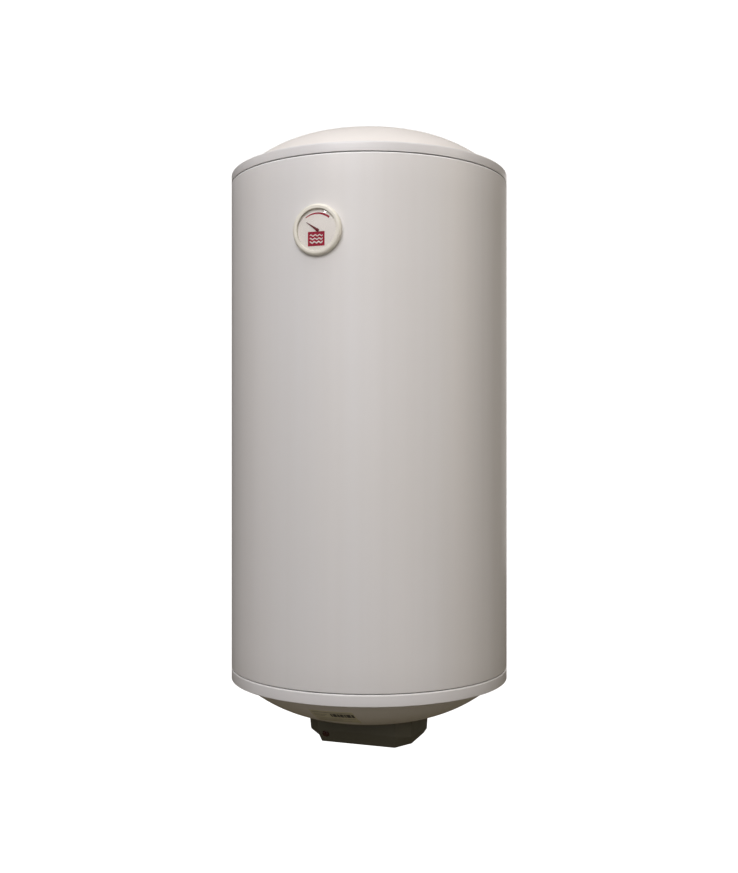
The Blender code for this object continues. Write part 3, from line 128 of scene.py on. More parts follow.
# ---- Materials ----
class Look:
    """A procedural material under construction: one Principled shader fed by noise in metres."""

    def __init__(self, name, colour, roughness, metallic=0.0, coat=0.0, coat_roughness=0.12):
        self.material = bpy.data.materials.new(name)
        self.material.use_nodes = True
        self.tree = self.material.node_tree
        self.shader = self.tree.nodes["Principled BSDF"]
        self.shader.inputs["Metallic"].default_value = metallic
        self.shader.inputs["Coat Weight"].default_value = coat
        self.shader.inputs["Coat Roughness"].default_value = coat_roughness
        self.shader.inputs["Base Color"].default_value = (*colour, 1)
        self.shader.inputs["Roughness"].default_value = roughness
        self.name = name
        self.colour = colour
        self.roughness = roughness
        self.normal = None
        self.coordinates = self.node("ShaderNodeTexCoord").outputs["Object"]

    def node(self, kind, **settings):
        made = self.tree.nodes.new(kind)
        for key, value in settings.items():
            setattr(made, key, value)
        return made

    def link(self, source, target):
        self.tree.links.new(source, target)

    def stretched(self, scale):
        """Coordinates scaled along each axis."""
        mapping = self.node("ShaderNodeMapping")
        mapping.inputs["Scale"].default_value = scale
        self.link(self.coordinates, mapping.inputs["Vector"])
        return mapping.outputs["Vector"]

    def noise(self, scale, detail=3.0, rough=0.5, stretch=None, distortion=0.0):
        made = self.node("ShaderNodeTexNoise")
        made.inputs["Scale"].default_value = scale
        made.inputs["Detail"].default_value = detail
        made.inputs["Roughness"].default_value = rough
        made.inputs["Distortion"].default_value = distortion
        self.link(self.stretched(stretch) if stretch else self.coordinates, made.inputs["Vector"])
        return made.outputs["Fac"]

    def cells(self, scale, feature="F1"):
        made = self.node("ShaderNodeTexVoronoi", feature=feature)
        made.inputs["Scale"].default_value = scale
        self.link(self.coordinates, made.inputs["Vector"])
        return made.outputs["Distance"]

    def off_level(self, level):
        """Distance above or below a level."""
        split = self.node("ShaderNodeSeparateXYZ")
        self.link(self.coordinates, split.inputs["Vector"])
        above = self.node("ShaderNodeMath", operation="SUBTRACT")
        self.link(split.outputs["Z"], above.inputs[0])
        above.inputs[1].default_value = level
        apart = self.node("ShaderNodeMath", operation="ABSOLUTE")
        self.link(above.outputs["Value"], apart.inputs[0])
        return apart.outputs["Value"]

    def ranged(self, source, low, high, from_low=0.3, from_high=0.7):
        made = self.node("ShaderNodeMapRange")
        made.inputs["From Min"].default_value = from_low
        made.inputs["From Max"].default_value = from_high
        made.inputs["To Min"].default_value = low
        made.inputs["To Max"].default_value = high
        self.link(source, made.inputs["Value"])
        return made.outputs["Result"]

    def tint(self, other, source, low=0.0, high=1.0, from_low=0.3, from_high=0.7):
        """Mixes another colour over the colour so far where the source is high."""
        mix = self.node("ShaderNodeMix", data_type="RGBA")
        self.link(self.ranged(source, low, high, from_low, from_high), mix.inputs["Factor"])
        base = self.shader.inputs["Base Color"]
        if base.is_linked:
            self.link(base.links[0].from_socket, mix.inputs["A"])
        else:
            mix.inputs["A"].default_value = (*self.colour, 1)
        mix.inputs["B"].default_value = (*other, 1)
        self.link(mix.outputs["Result"], base)
        return self

    def vary(self, source, spread):
        """Roughness that wanders around its middle value."""
        wander = self.ranged(source, self.roughness - spread, self.roughness + spread)
        self.link(wander, self.shader.inputs["Roughness"])
        return self

    def bump(self, source, distance, strength=1.0):
        """Adds relief of a real height in metres."""
        made = self.node("ShaderNodeBump")
        made.inputs["Distance"].default_value = distance
        made.inputs["Strength"].default_value = strength
        self.link(source, made.inputs["Height"])
        if self.normal:
            self.link(self.normal, made.inputs["Normal"])
        self.normal = made.outputs["Normal"]
        self.link(self.normal, self.shader.inputs["Normal"])
        return self


def shade(colour, factor):
    return tuple(min(1.0, c * factor) for c in colour)


def moulded(name, colour, roughness, grain=1400, depth=0.00002, mottle=0.04, coat=0.0):
    """Injection-moulded plastic: a fine spark-eroded grain and a faint flow mottle."""
    look = Look(name, colour, roughness, coat=coat, coat_roughness=0.2)
    look.tint(shade(colour, 1 - mottle), look.noise(9, 4), 0.0, 1.0)
    look.tint(shade(colour, 1 - mottle * 1.5), look.noise(grain * 0.6, 2), 0.0, 0.5, 0.45, 0.75)
    look.vary(look.noise(35, 5), 0.05)
    look.bump(look.noise(grain, 3, 0.6), depth)
    return look


def rim_plastic():
    """The bands' plastic, with a painted highlight along the lower band's upper edge."""
    colour = (0.790, 0.778, 0.785)
    look = moulded("rim_plastic", colour, 0.34, grain=1100, depth=0.000015, mottle=0.02, coat=0.15)
    # Painted highlight: a near-white tint within 3 mm of the lower seam stands in for light caught on the
    # band's rounded top edge.
    return look.tint((0.97, 0.965, 0.97), look.off_level(BOTTOM_Z), 1.0, 0.0, 0.0018, 0.0030)


def painted_steel():
    """Coil-coated sheet: long rolling bands down the jacket, a fine orange peel and a little haze."""
    look = Look("casing_paint", (0.790, 0.772, 0.768), 0.50, coat=0.12, coat_roughness=0.25)
    look.tint((0.775, 0.772, 0.785), look.noise(13, 2, stretch=(1, 1, 0.02)), 0.0, 0.7)
    look.tint((0.745, 0.728, 0.722), look.noise(48, 3, stretch=(1, 1, 0.012)), 0.0, 0.5)
    look.tint((0.755, 0.735, 0.715), look.noise(5, 5), 0.0, 0.35)
    # Painted highlight: the hem's top edge is tinted near white, standing in for light caught on its
    # rounding.
    look.tint((0.97, 0.97, 0.98), look.off_level(casing_high.z), 1.0, 0.0, 0.0014, 0.0026)
    look.vary(look.noise(20, 4, stretch=(1, 1, 0.10)), 0.05)
    look.bump(look.noise(26, 2, stretch=(1, 1, 0.015)), 0.00060)
    look.bump(look.noise(620, 2), 0.00002)
    return look


def metal(name, colour, roughness, stretch=(1, 1, 12), tarnish=(0.35, 0.33, 0.30), amount=0.3):
    """Bare or plated metal: drawn or rolled streaks under a patchy tarnish."""
    look = Look(name, colour, roughness, metallic=1.0)
    look.tint(tarnish, look.noise(60, 6, 0.6), 0.0, amount, 0.42, 0.75)
    look.tint(shade(colour, 0.8), look.noise(380, 3, stretch=stretch), 0.0, 0.5, 0.4, 0.7)
    look.vary(look.noise(240, 3, stretch=stretch), 0.09)
    look.bump(look.noise(700, 3, stretch=stretch), 0.00002)
    return look


def enamelled():
    look = Look("tank_enamel", (0.055, 0.085, 0.150), 0.16, coat=0.6)
    look.tint((0.030, 0.050, 0.105), look.noise(30, 5), 0.0, 1.0)
    look.tint((0.35, 0.38, 0.42), look.cells(420), 0.7, 0.0, 0.0, 0.16)
    look.vary(look.noise(90, 3), 0.05)
    look.bump(look.noise(150, 2), 0.00012)
    return look


def foamed():
    look = Look("foam", (0.80, 0.70, 0.42), 0.88)
    look.tint((0.62, 0.47, 0.22), look.noise(28, 6, 0.6), 0.0, 0.8)
    look.tint((0.88, 0.82, 0.60), look.cells(650), 0.5, 0.0, 0.05, 0.5)
    look.vary(look.noise(80, 3), 0.06)
    look.bump(look.cells(520), 0.0004)
    look.bump(look.noise(40, 4), 0.0010)
    return look


def cast_magnesium():
    look = Look("magnesium", (0.50, 0.50, 0.51), 0.62, metallic=0.9)
    look.tint((0.66, 0.66, 0.64), look.noise(70, 6, 0.7), 0.0, 0.8, 0.45, 0.65)
    look.vary(look.noise(160, 4), 0.12)
    look.bump(look.noise(300, 5, 0.7), 0.00012)
    return look


def rubber():
    look = Look("gasket_rubber", (0.022, 0.022, 0.023), 0.72)
    look.tint((0.075, 0.072, 0.068), look.noise(120, 6, 0.7), 0.0, 0.6, 0.48, 0.72)
    look.vary(look.noise(200, 3), 0.10)
    look.bump(look.noise(900, 4), 0.00004)
    return look


def insulated_wire(name, colour, stripe=None):
    """PVC wire insulation, with the second colour of an earth wire wound round it."""
    look = Look(name, colour, 0.42)
    look.tint(shade(colour, 0.7), look.noise(140, 3), 0.0, 0.6)
    if stripe:
        wave = look.node("ShaderNodeTexWave", wave_type="BANDS", bands_direction="DIAGONAL")
        wave.inputs["Scale"].default_value = 60
        look.link(look.coordinates, wave.inputs["Vector"])
        look.tint(stripe, wave.outputs["Fac"], 0.0, 1.0, 0.49, 0.51)
    look.vary(look.noise(300, 2), 0.08)
    look.bump(look.noise(1200, 2), 0.00002)
    return look


def printed(name, colour, roughness=0.35):
    """Screen-printed ink with tiny pinholes and an uneven edge to its gloss."""
    look = Look(name, colour, roughness)
    look.tint(shade(colour, 0.72), look.noise(260, 5), 0.0, 0.7)
    look.tint(shade(colour, 1.5), look.noise(2400, 2), 0.0, 0.3, 0.6, 0.8)
    look.vary(look.noise(500, 3), 0.08)
    look.bump(look.noise(2600, 2), 0.00001)
    return look


def paper(name, colour):
    look = Look(name, colour, 0.55)
    look.tint(shade(colour, 0.86), look.noise(45, 5), 0.0, 0.9)
    look.tint(shade(colour, 0.80), look.noise(1900, 3, stretch=(1, 4, 1)), 0.0, 0.5)
    look.vary(look.noise(110, 3), 0.08)
    look.bump(look.noise(1500, 4), 0.00003)
    return look


def clear_plastic():
    """Clear cover: see-through but for some fine dust and a sheen that grows as it's seen aslant."""
    look = Look("clear_lens", (1, 1, 1), 0.0)
    look.tree.nodes.remove(look.shader)
    through = look.node("ShaderNodeBsdfTransparent")
    through.inputs["Color"].default_value = (0.992, 0.993, 0.990, 1)
    gloss = look.node("ShaderNodeBsdfGlossy")
    gloss.inputs["Roughness"].default_value = 0.01
    slant = look.node("ShaderNodeLayerWeight")
    slant.inputs["Blend"].default_value = 0.5
    steep = look.node("ShaderNodeMath", operation="POWER")
    steep.inputs[1].default_value = 5.0
    look.link(slant.outputs["Facing"], steep.inputs[0])
    share = look.node("ShaderNodeMath", operation="ADD")
    look.link(look.ranged(steep.outputs["Value"], 0.036, 1.0, 0.0, 1.0), share.inputs[0])
    look.link(look.ranged(look.noise(900, 5), 0.0, 0.05, 0.55, 0.80), share.inputs[1])
    mix = look.node("ShaderNodeMixShader")
    look.link(share.outputs["Value"], mix.inputs["Fac"])
    look.link(through.outputs["BSDF"], mix.inputs[1])
    look.link(gloss.outputs["BSDF"], mix.inputs[2])
    look.link(mix.outputs["Shader"], look.tree.nodes["Material Output"].inputs["Surface"])
    return look


def lamp_red():
    look = Look("lamp_red", (0.050, 0.004, 0.005), 0.22, coat=0.3)
    look.tint((0.018, 0.002, 0.002), look.noise(400, 3), 0.0, 0.8)
    look.vary(look.noise(600, 2), 0.05)
    look.bump(look.noise(1500, 2), 0.00002)
    return look


ZINC_TARNISH = (0.42, 0.42, 0.40)
COPPER_TARNISH = (0.22, 0.11, 0.07)
LOOKS = (
    painted_steel(),
    rim_plastic(),
    moulded("cover_cream", (0.880, 0.845, 0.815), 0.42, grain=900, depth=0.00003, mottle=0.03),
    moulded("housing_grey", (0.118, 0.113, 0.086), 0.50, grain=1000, depth=0.00004, mottle=0.12),
    moulded("gauge_cream", (0.860, 0.830, 0.745), 0.30, mottle=0.03, coat=0.2),
    moulded("dial_print", (0.960, 0.915, 0.880), 0.45, mottle=0.02),
    printed("needle_red", (0.170, 0.008, 0.018), 0.36),
    clear_plastic(),
    lamp_red(),
    enamelled(),
    metal("bare_steel", (0.62, 0.61, 0.59), 0.30),
    metal("zinc_steel", (0.66, 0.67, 0.66), 0.36, stretch=(3, 1, 1), tarnish=ZINC_TARNISH, amount=0.5),
    metal("copper_sheath", (0.70, 0.40, 0.27), 0.32, tarnish=COPPER_TARNISH, amount=0.7),
    cast_magnesium(),
    foamed(),
    rubber(),
    moulded("black_plastic", (0.035, 0.035, 0.036), 0.42, grain=1300, depth=0.00004, mottle=0.3),
    moulded("white_plastic", (0.78, 0.77, 0.74), 0.40),
    moulded("knob_grey", (0.25, 0.25, 0.24), 0.42, grain=1200, depth=0.00004, mottle=0.1),
    moulded("mark_blue", (0.020, 0.110, 0.480), 0.35, mottle=0.12),
    moulded("mark_red", (0.520, 0.025, 0.030), 0.35, mottle=0.12),
    insulated_wire("wire_brown", (0.180, 0.070, 0.030)),
    insulated_wire("wire_blue", (0.025, 0.130, 0.480)),
    insulated_wire("wire_earth", (0.100, 0.340, 0.060), (0.75, 0.62, 0.04)),
    paper("label_paper", (0.800, 0.760, 0.600)),
)
MATERIALS = {look.name: look.material for look in LOOKS}
# Painted shade: the bands' tongues are near black so that the seam gaps read as dark lines of shade; the
# real tongue is of the bands' plastic.
TONGUE_SHADE = moulded("tongue_plastic", (0.060, 0.052, 0.070), 0.55, mottle=0.2).material
INK_RED = printed("ink_red", (0.440, 0.008, 0.042), 0.30).material
INK_BLACK = printed("ink_black", (0.030, 0.028, 0.026), 0.40).material
INK_GREY = printed("ink_grey", (0.34, 0.32, 0.27), 0.45).material
INK_WHITE = printed("ink_white", (0.93, 0.90, 0.88), 0.40).material


# ---- Modelling helpers ----
def meshed(name, bm):
    mesh = bpy.data.meshes.new(name)
    bm.to_mesh(mesh)
    bm.free()
    return mesh


def placed(name, data):
    made = bpy.data.objects.new(name, data)
    bpy.context.scene.collection.objects.link(made)
    return made


def piece(name, bm, slot, node=None, body="heater", sharp=28, material=None):
    """Turns a bmesh in the frame's coordinates into a piece that rides on a body."""
    bmesh.ops.recalc_face_normals(bm, faces=bm.faces)
    mesh = meshed(name, bm)
    mesh.shade_smooth()
    mesh.set_sharp_from_angle(angle=math.radians(sharp))
    mesh.materials.append(material or MATERIALS[slot])
    made = placed(name, mesh)
    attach(made, body)
    if node:
        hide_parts(node)
    return made


def rounded(points, steps=5):
    """A closed profile of (x, z) or (x, z, radius) points, with an arc where there is a radius."""
    made = []
    for before, point, after in zip(points[-1:] + points[:-1], points, points[1:] + points[:1]):
        here = Vector(point[:2])
        if len(point) == 2:
            made.append(here)
            continue
        one = (Vector(before[:2]) - here).normalized()
        two = (Vector(after[:2]) - here).normalized()
        half = one.angle(two) / 2
        centre = here + (one + two).normalized() * point[2] / math.sin(half)
        start = here + one * point[2] / math.tan(half) - centre
        end = here + two * point[2] / math.tan(half) - centre
        sweep = start.angle(end)
        for i in range(steps + 1):
            t = i / steps
            spoke = start * math.sin((1 - t) * sweep) + end * math.sin(t * sweep)
            made.append(centre + spoke / math.sin(sweep))
    return made


def around(radius, angle, height=0.0):
    return Vector((radius * math.cos(angle), radius * math.sin(angle), height))


def turned(profile, segments, place=AXIS, closed=True, ripple=None):
    """A bmesh turned from (radius, height) points. ripple(angle, radius, height) may change a radius."""
    bm = bmesh.new()
    rows = []
    for radius, height in profile:
        if radius < 1e-7:
            rows.append([bm.verts.new(place @ Vector((0, 0, height)))])
            continue
        row = []
        for i in range(segments):
            angle = math.tau * i / segments
            reach = ripple(angle, radius, height) if ripple else radius
            row.append(bm.verts.new(place @ around(reach, angle, height)))
        rows.append(row)
    pairs = list(zip(rows, rows[1:]))
    if closed and len(rows[0]) > 1 and len(rows[-1]) > 1:
        pairs.append((rows[-1], rows[0]))
    for one, two in pairs:
        if len(one) == 1 and len(two) == 1:
            continue
        for i in range(segments):
            j = (i + 1) % segments
            corners = [one[i % len(one)], one[j % len(one)], two[j % len(two)], two[i % len(two)]]
            bm.faces.new(list(dict.fromkeys(corners)))
    return bm


def lathe(name, profile, slot, node=None, segments=96, place=AXIS, body="heater", ripple=None, sharp=28,
          material=None):
    return piece(name, turned(profile, segments, place, ripple=ripple), slot, node, body, sharp, material)


def stacked(sections, place=AXIS, bm=None):
    """A bmesh through outlines of equally many points, closed by the first and the last."""
    bm = bm or bmesh.new()
    rows = [[bm.verts.new(place @ Vector(p)) for p in outline] for outline in sections]
    for one, two in zip(rows, rows[1:]):
        for i in range(len(one)):
            j = (i + 1) % len(one)
            bm.faces.new((one[i], one[j], two[j], two[i]))
    bm.faces.new(rows[0])
    bm.faces.new(rows[-1])
    return bm


def level(outline, height):
    return [(x, y, height) for x, y in outline]


def slab(outline, low, high, place=AXIS, bm=None):
    return stacked([level(outline, low), level(outline, high)], place, bm)


def oblong(width, length, centre=(0, 0), steps=10):
    """Outline of a slot with round ends, its long side along y."""
    radius = width / 2
    half = length / 2 - radius
    made = []
    for end, start in ((half, 0), (-half, math.pi)):
        for i in range(steps + 1):
            angle = start + math.pi * i / steps
            made.append((centre[0] + radius * math.cos(angle), centre[1] + end + radius * math.sin(angle)))
    return made


def soft_box(half_x, half_y, radius, centre=(0, 0), steps=6):
    """Outline of a rectangle with round corners."""
    corners = ((1, 1), (-1, 1), (-1, -1), (1, -1))
    made = []
    for quarter, (sx, sy) in enumerate(corners):
        for i in range(steps + 1):
            angle = math.pi / 2 * (quarter + i / steps)
            made.append((
                centre[0] + sx * (half_x - radius) + radius * math.cos(angle),
                centre[1] + sy * (half_y - radius) + radius * math.sin(angle),
            ))
    return made


def pillow(outline_at, low, high, edge, steps=3):
    """Sections of a prism whose rims are rounded over by edge. outline_at(inset) gives the outline."""
    sections = []
    for i in range(steps + 1):
        angle = math.pi / 2 * i / steps
        sections.append(level(outline_at(edge * (1 - math.sin(angle))), low + edge * (1 - math.cos(angle))))
    for i in range(steps + 1):
        angle = math.pi / 2 * (1 - i / steps)
        sections.append(level(outline_at(edge * (1 - math.sin(angle))), high - edge * (1 - math.cos(angle))))
    return sections


def settle(made, sharp=28):
    """Replaces a piece's mesh by what its modifiers make of it."""
    graph = bpy.context.evaluated_depsgraph_get()
    mesh = bpy.data.meshes.new_from_object(made.evaluated_get(graph))
    old = made.data
    made.modifiers.clear()
    made.data = mesh
    bpy.data.meshes.remove(old)
    mesh.name = made.name
    mesh.shade_smooth()
    mesh.set_sharp_from_angle(angle=math.radians(sharp))
    return made


def bevelled(made, width, angle=15, segments=3):
    modifier = made.modifiers.new("edges", "BEVEL")
    modifier.width = width
    modifier.segments = segments
    modifier.limit_method = "ANGLE"
    modifier.angle_limit = math.radians(angle)
    modifier.harden_normals = False
    return settle(made)


def cut(made, *tools):
    """Cuts the tool bmeshes out of a piece."""
    helpers = []
    for bm in tools:
        bmesh.ops.recalc_face_normals(bm, faces=bm.faces)
        helper = placed("tool", meshed("tool", bm))
        helpers.append(helper)
        modifier = made.modifiers.new("cut", "BOOLEAN")
        modifier.operation = "DIFFERENCE"
        modifier.solver = "EXACT"
        modifier.object = helper
    settle(made)
    for helper in helpers:
        mesh = helper.data
        bpy.data.objects.remove(helper)
        bpy.data.meshes.remove(mesh)
    return made


def plug(radius, low, high, place, segments=48):
    """A cutter: a round bar."""
    return turned([(0, low), (radius, low), (radius, high), (0, high)], segments, place, closed=False)


def at(side, spot, place=AXIS):
    """The place of one of a pair, left or right of the middle."""
    return place @ Matrix.Translation((side * spot[0], spot[1], 0))


# ---- Outer shell ----
def cover_height(radius, top, inset=0.0):
    rim_height, rise = (TOP_RIM_HEIGHT, TOP_RISE) if top else (BOTTOM_RIM_HEIGHT, BOTTOM_RISE)
    return rim_height - inset + rise * (1 - (radius / (COVER_RADIUS - inset)) ** COVER_POWER)


def cover_curve(top, inset=0.0, inner_radius=0.0, steps=56):
    edge = COVER_RADIUS - inset
    start = (inner_radius / edge) ** (1 / 0.65)
    radii = [edge * (start + (1 - start) * i / steps) ** 0.65 for i in range(steps + 1)]
    return [(radius, cover_height(radius, top, inset)) for radius in radii]


def ends(profile, top):
    return [(p[0], TOP_Z + p[1] if top else BOTTOM_Z - p[1], *p[2:]) for p in profile]


def casing():
    """Rolled jacket with a hem turned in at both ends, slits for the hangers and the thermometer's hole."""
    hem = 0.0020
    foot = 0.0012
    foot_in = 0.0010
    slit = (0.0025, 0.020)
    low = casing_low.z
    high = casing_high.z
    arc = [math.pi / 2 * i / 6 for i in range(7)]
    rows = [low + foot + (high - hem - low - foot) * i / 20 for i in range(21)]
    outer = [(RADIUS - foot_in * (1 - math.cos(a)), low + foot * (1 - math.sin(a))) for a in reversed(arc)]
    outer += [(RADIUS, z) for z in rows[1:-1]]
    outer += [(RADIUS - hem * (1 - math.cos(a)), high - hem * (1 - math.sin(a))) for a in arc]
    inner = []
    for a in reversed(arc):
        turn_in = (hem - CASING_WALL) * (1 - math.cos(a))
        inner.append((RADIUS - CASING_WALL - turn_in, high - hem * 1.15 * (1 - math.sin(a)) - CASING_WALL))
    inner += [(RADIUS - CASING_WALL, z) for z in reversed(rows[:-1])]
    made = lathe("casing_shell", outer + inner, "casing_paint", "outer_casing", 288)
    tools = []
    for node in ("upper_wall_bracket", "lower_wall_bracket"):
        node_low, node_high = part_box(node)
        for side in (-1, 1):
            outline = soft_box(*slit, 0.001, (side * HANGER_LEG_AT, RADIUS - 0.0025))
            tools.append(slab(outline, node_low.z - 0.001, node_high.z + 0.001))
    tools.append(plug(0.028, -0.012, 0.006, GAUGE))
    cut(made, *tools)


def casing_seam():
    """Lock seam down the back of the jacket, its edges pressed flat and its ends faded out."""
    half = 0.0045
    proud = 0.0007
    fade = 0.002
    low = casing_low.z + 0.004
    high = casing_high.z - 0.004
    levels = [(low, 0.0), (low + fade, 1.0)]
    levels += [(low + (high - low) * i / 24, 1.0) for i in range(1, 24)]
    levels += [(high - fade, 1.0), (high, 0.0)]

    def on_back(across, reach, z):
        return around(reach, math.pi / 2 + across * half / RADIUS, z)

    sections = []
    for z, rise in levels:
        row = []
        for i in range(13):
            across = i / 12 * 2 - 1
            groove = 1 - 0.35 * math.exp(-((across - 0.15) / 0.07) ** 2)
            ridge = min(1.0, (1 - abs(across)) * 6) ** 0.5 * groove
            row.append(on_back(across, RADIUS - 0.0001 + proud * ridge * rise, z))
        row += [on_back(across, RADIUS - 0.0005, z) for across in (1, -1)]
        sections.append(row)
    piece("casing_lock_seam", stacked(sections), "casing_paint", sharp=50)


def rim(name, node, top):
    """End band, flush with the casing, its ledge running in to the cover and its tongue inside the hem."""
    height = TOP_RIM_HEIGHT if top else BOTTOM_RIM_HEIGHT
    inner = COVER_RADIUS + FIT
    tongue = RADIUS - 0.0036
    band = [
        (RADIUS, FIT, 0.0006 if top else 0.0012),
        (RADIUS, height, 0.0030 if top else 0.0015),
        (inner, height, 0.0006),
        (inner, FIT),
    ]
    lathe(name, rounded(ends(band, top), 7), "rim_plastic", node, 288)
    skirt = [
        (inner + 0.0002, FIT + 0.0002),
        (inner + 0.0002, -RIM_TONGUE, 0.0003),
        (tongue, -RIM_TONGUE, 0.0005),
        (tongue, FIT + 0.0002),
    ]
    # The tongue takes the near-black painted-shade colour, standing in for shade in the seam gap.
    lathe(f"{name}_tongue", rounded(ends(skirt, top), 4), "rim_plastic", None, 288, material=TONGUE_SHADE)


def dome(name, node, top, inner_radius=0.0):
    """Moulded end cover with its skirt inside the band."""
    outer = cover_curve(top, 0, inner_radius)
    inner = cover_curve(top, COVER_WALL, inner_radius)
    skirt = [(COVER_RADIUS, -0.006), (COVER_RADIUS - COVER_WALL, -0.006)]
    return lathe(name, ends([*outer, *skirt, *reversed(inner)], top), "cover_cream", node, 288)


def bottom_dome():
    """Bottom cover with its pipe holes, and the two posts that hold the control cover's screws."""
    made = dome("bottom_dome", "bottom_cover", False, SERVICE_RADIUS)
    hole = PIPE_RADIUS + 0.0029
    cut(made, *[plug(hole, BOTTOM_Z - 0.10, BOTTOM_Z, at(side, PIPE_AT)) for side in (-1, 1)])
    post = 0.0045
    bore = 0.0019
    top = BOTTOM_Z - cover_height(math.hypot(*HOUSING_SCREW_AT) + post, False) + COVER_WALL / 2
    low = HOUSING_UNDER + HOUSING_WALL + FIT
    for side, name in ((-1, "cover_post_left"), (1, "cover_post_right")):
        profile = rounded([(bore, low, 0.0003), (post, low, 0.0005), (post + 0.0004, top), (bore, top)])
        lathe(name, profile, "cover_cream", None, 32, at(side, HOUSING_SCREW_AT))


def dome_point(radius, across, below=0.0):
    """A point on the bottom cover's front, across its middle line and below its skin."""
    angle = -math.pi / 2 + across / radius
    height = BOTTOM_Z - cover_height(radius, False) - below
    return AXIS @ around(radius, angle, height)


def dome_patch(bm, inner, outer, left, right, level_below, thick, columns=24, rows=10):
    """A thin sheet that lies on the front of the bottom cover."""
    radii = [inner + (outer - inner) * j / rows for j in range(rows + 1)]
    places = [left + (right - left) * i / columns for i in range(columns + 1)]
    skins = []
    for below in (level_below, level_below + thick):
        skins.append([[bm.verts.new(dome_point(r, across, below)) for r in radii] for across in places])
    for skin in skins:
        for i in range(columns):
            for j in range(rows):
                bm.faces.new((skin[i][j], skin[i][j + 1], skin[i + 1][j + 1], skin[i + 1][j]))
    first, second = skins
    border = [(i, 0) for i in range(columns)] + [(columns, j) for j in range(rows)]
    border += [(i, rows) for i in range(columns, 0, -1)] + [(0, j) for j in range(rows, 0, -1)]
    for (i, j), (k, m) in zip(border, border[1:] + border[:1]):
        bm.faces.new((first[i][j], first[k][m], second[k][m], second[i][j]))


def label():
    """Rating sticker with plain bars in place of any print."""
    sunk = 0.0003
    ink = (0.00062, 0.00004)
    left = LABEL_SHIFT - LABEL_WIDTH / 2
    bm = bmesh.new()
    dome_patch(bm, LABEL_INNER, LABEL_OUTER, left, left + LABEL_WIDTH, sunk, 0.0003)
    piece("rating_sticker", bm, "label_paper", "rating_label")
    bars = (
        (0.0025, 0.0013), (0.0056, 0.0011), (0.0034, 0.0010), (0.0049, 0.0013),
        (0.0027, 0.0009), (0.0063, 0.0012), (0.0038, 0.0011),
    )
    bm = bmesh.new()
    start = left + LABEL_WIDTH * 0.46
    for width, gap in bars:
        dome_patch(bm, LABEL_INNER + 0.0230, LABEL_INNER + 0.0335, start, start + width, *ink, 3, 3)
        start += width + gap
    piece("label_dark_bars", bm, "label_paper", material=INK_BLACK)
    lines = ((0.0360, 0.91), (0.0285, 0.32), (0.0240, 0.26), (0.0155, 0.90), (0.0100, 0.62), (0.0045, 0.77))
    bm = bmesh.new()
    start = left + LABEL_WIDTH * 0.05
    for rise, share in lines:
        inner = LABEL_INNER + rise
        dome_patch(bm, inner, inner + 0.0014, start, start + LABEL_WIDTH * share, *ink, 12, 1)
    piece("label_fine_lines", bm, "label_paper", material=INK_GREY)


# ---- Wall hangers and pipes ----
def weld_bead(bm, x, flank, foot, z, half_z):
    """A rippled weld up one flank of a leg at x, where the leg's foot meets the plate."""
    run = half_z * 0.92
    sections = []
    for i in range(41):
        rise = z - run + 2 * run * i / 40
        swell = 0.0016 + 0.0003 * math.sin(i * 2.1)
        row = []
        for k in range(9):
            angle = math.pi / 2 * k / 8
            out = HANGER_THICK / 2 + swell * math.cos(angle)
            row.append((x + flank * out, foot - swell * math.sin(angle), rise))
        row.append((x + flank * HANGER_THICK * 0.4, foot + 0.0003, rise))
        sections.append(row)
    stacked(sections, Matrix(), bm)


def hanger(name, node):
    """Slotted wall plate with two legs welded on edge."""
    low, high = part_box(node)
    z = (low.z + high.z) / 2
    half_z = (high.z - low.z) / 2
    half_x = (high.x - low.x) / 2
    foot = high.y - HANGER_THICK
    depth = foot - low.y
    edge = 0.0004
    place = Matrix.Translation((AXIS_X, high.y, z)) @ Matrix.Rotation(math.pi / 2, 4, "X")

    def plate_outline(inset):
        return soft_box(half_x - inset, half_z - inset, 0.006)

    def leg_outline(inset):
        return soft_box(HANGER_THICK / 2 - inset, depth / 2 + 0.0005 - inset, edge)

    plate = piece(name, stacked(pillow(plate_outline, 0, HANGER_THICK, edge), place), "zinc_steel", node)
    slots = []
    for side in (-1, 1):
        outline = oblong(0.010, 0.024, (side * HANGER_SLOT_AT, 0))
        slots.append(slab(outline, -0.01, 0.01, place))
    cut(plate, *slots)
    for side, tag in ((-1, "left"), (1, "right")):
        x = side * HANGER_LEG_AT
        leg_place = Matrix.Translation((x, low.y + depth / 2, z))
        bm = stacked(pillow(leg_outline, -half_z, half_z, edge), leg_place)
        for flank in (-1, 1):
            weld_bead(bm, x, flank, foot, z, half_z)
        piece(f"{name}_leg_{tag}", bm, "zinc_steel", sharp=40)


def pipe(name, node, side):
    """Nipple with a half-inch pipe thread on its open end."""
    low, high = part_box(node)
    pitch = 0.001814
    depth = 0.00116
    thread = 0.019
    chamfer = 0.0012
    outer = [(PIPE_RADIUS, low.z + thread * i / 88) for i in range(89)]
    outer += [(PIPE_RADIUS, low.z + thread + 0.002), (PIPE_RADIUS, high.z)]
    bore = [(PIPE_BORE, high.z), (PIPE_BORE, low.z + 0.0006), (PIPE_BORE + 0.0006, low.z)]

    def ripple(angle, radius, height):
        if radius < PIPE_RADIUS:
            return radius
        rise = height - low.z
        start = min(1.0, rise / 0.0022)
        fade = max(0.0, min(1.0, (thread - rise) / 0.0025)) if rise < thread else 0.0
        phase = (rise / pitch - angle / math.tau) % 1
        groove = min(1.0, max(0.0, abs(phase * 2 - 1) * 1.25 - 0.12))
        return radius - chamfer * (1 - start) - depth * groove * fade

    lathe(name, outer + bore, "zinc_steel", node, 72, at(side, PIPE_AT), ripple=ripple, sharp=50)


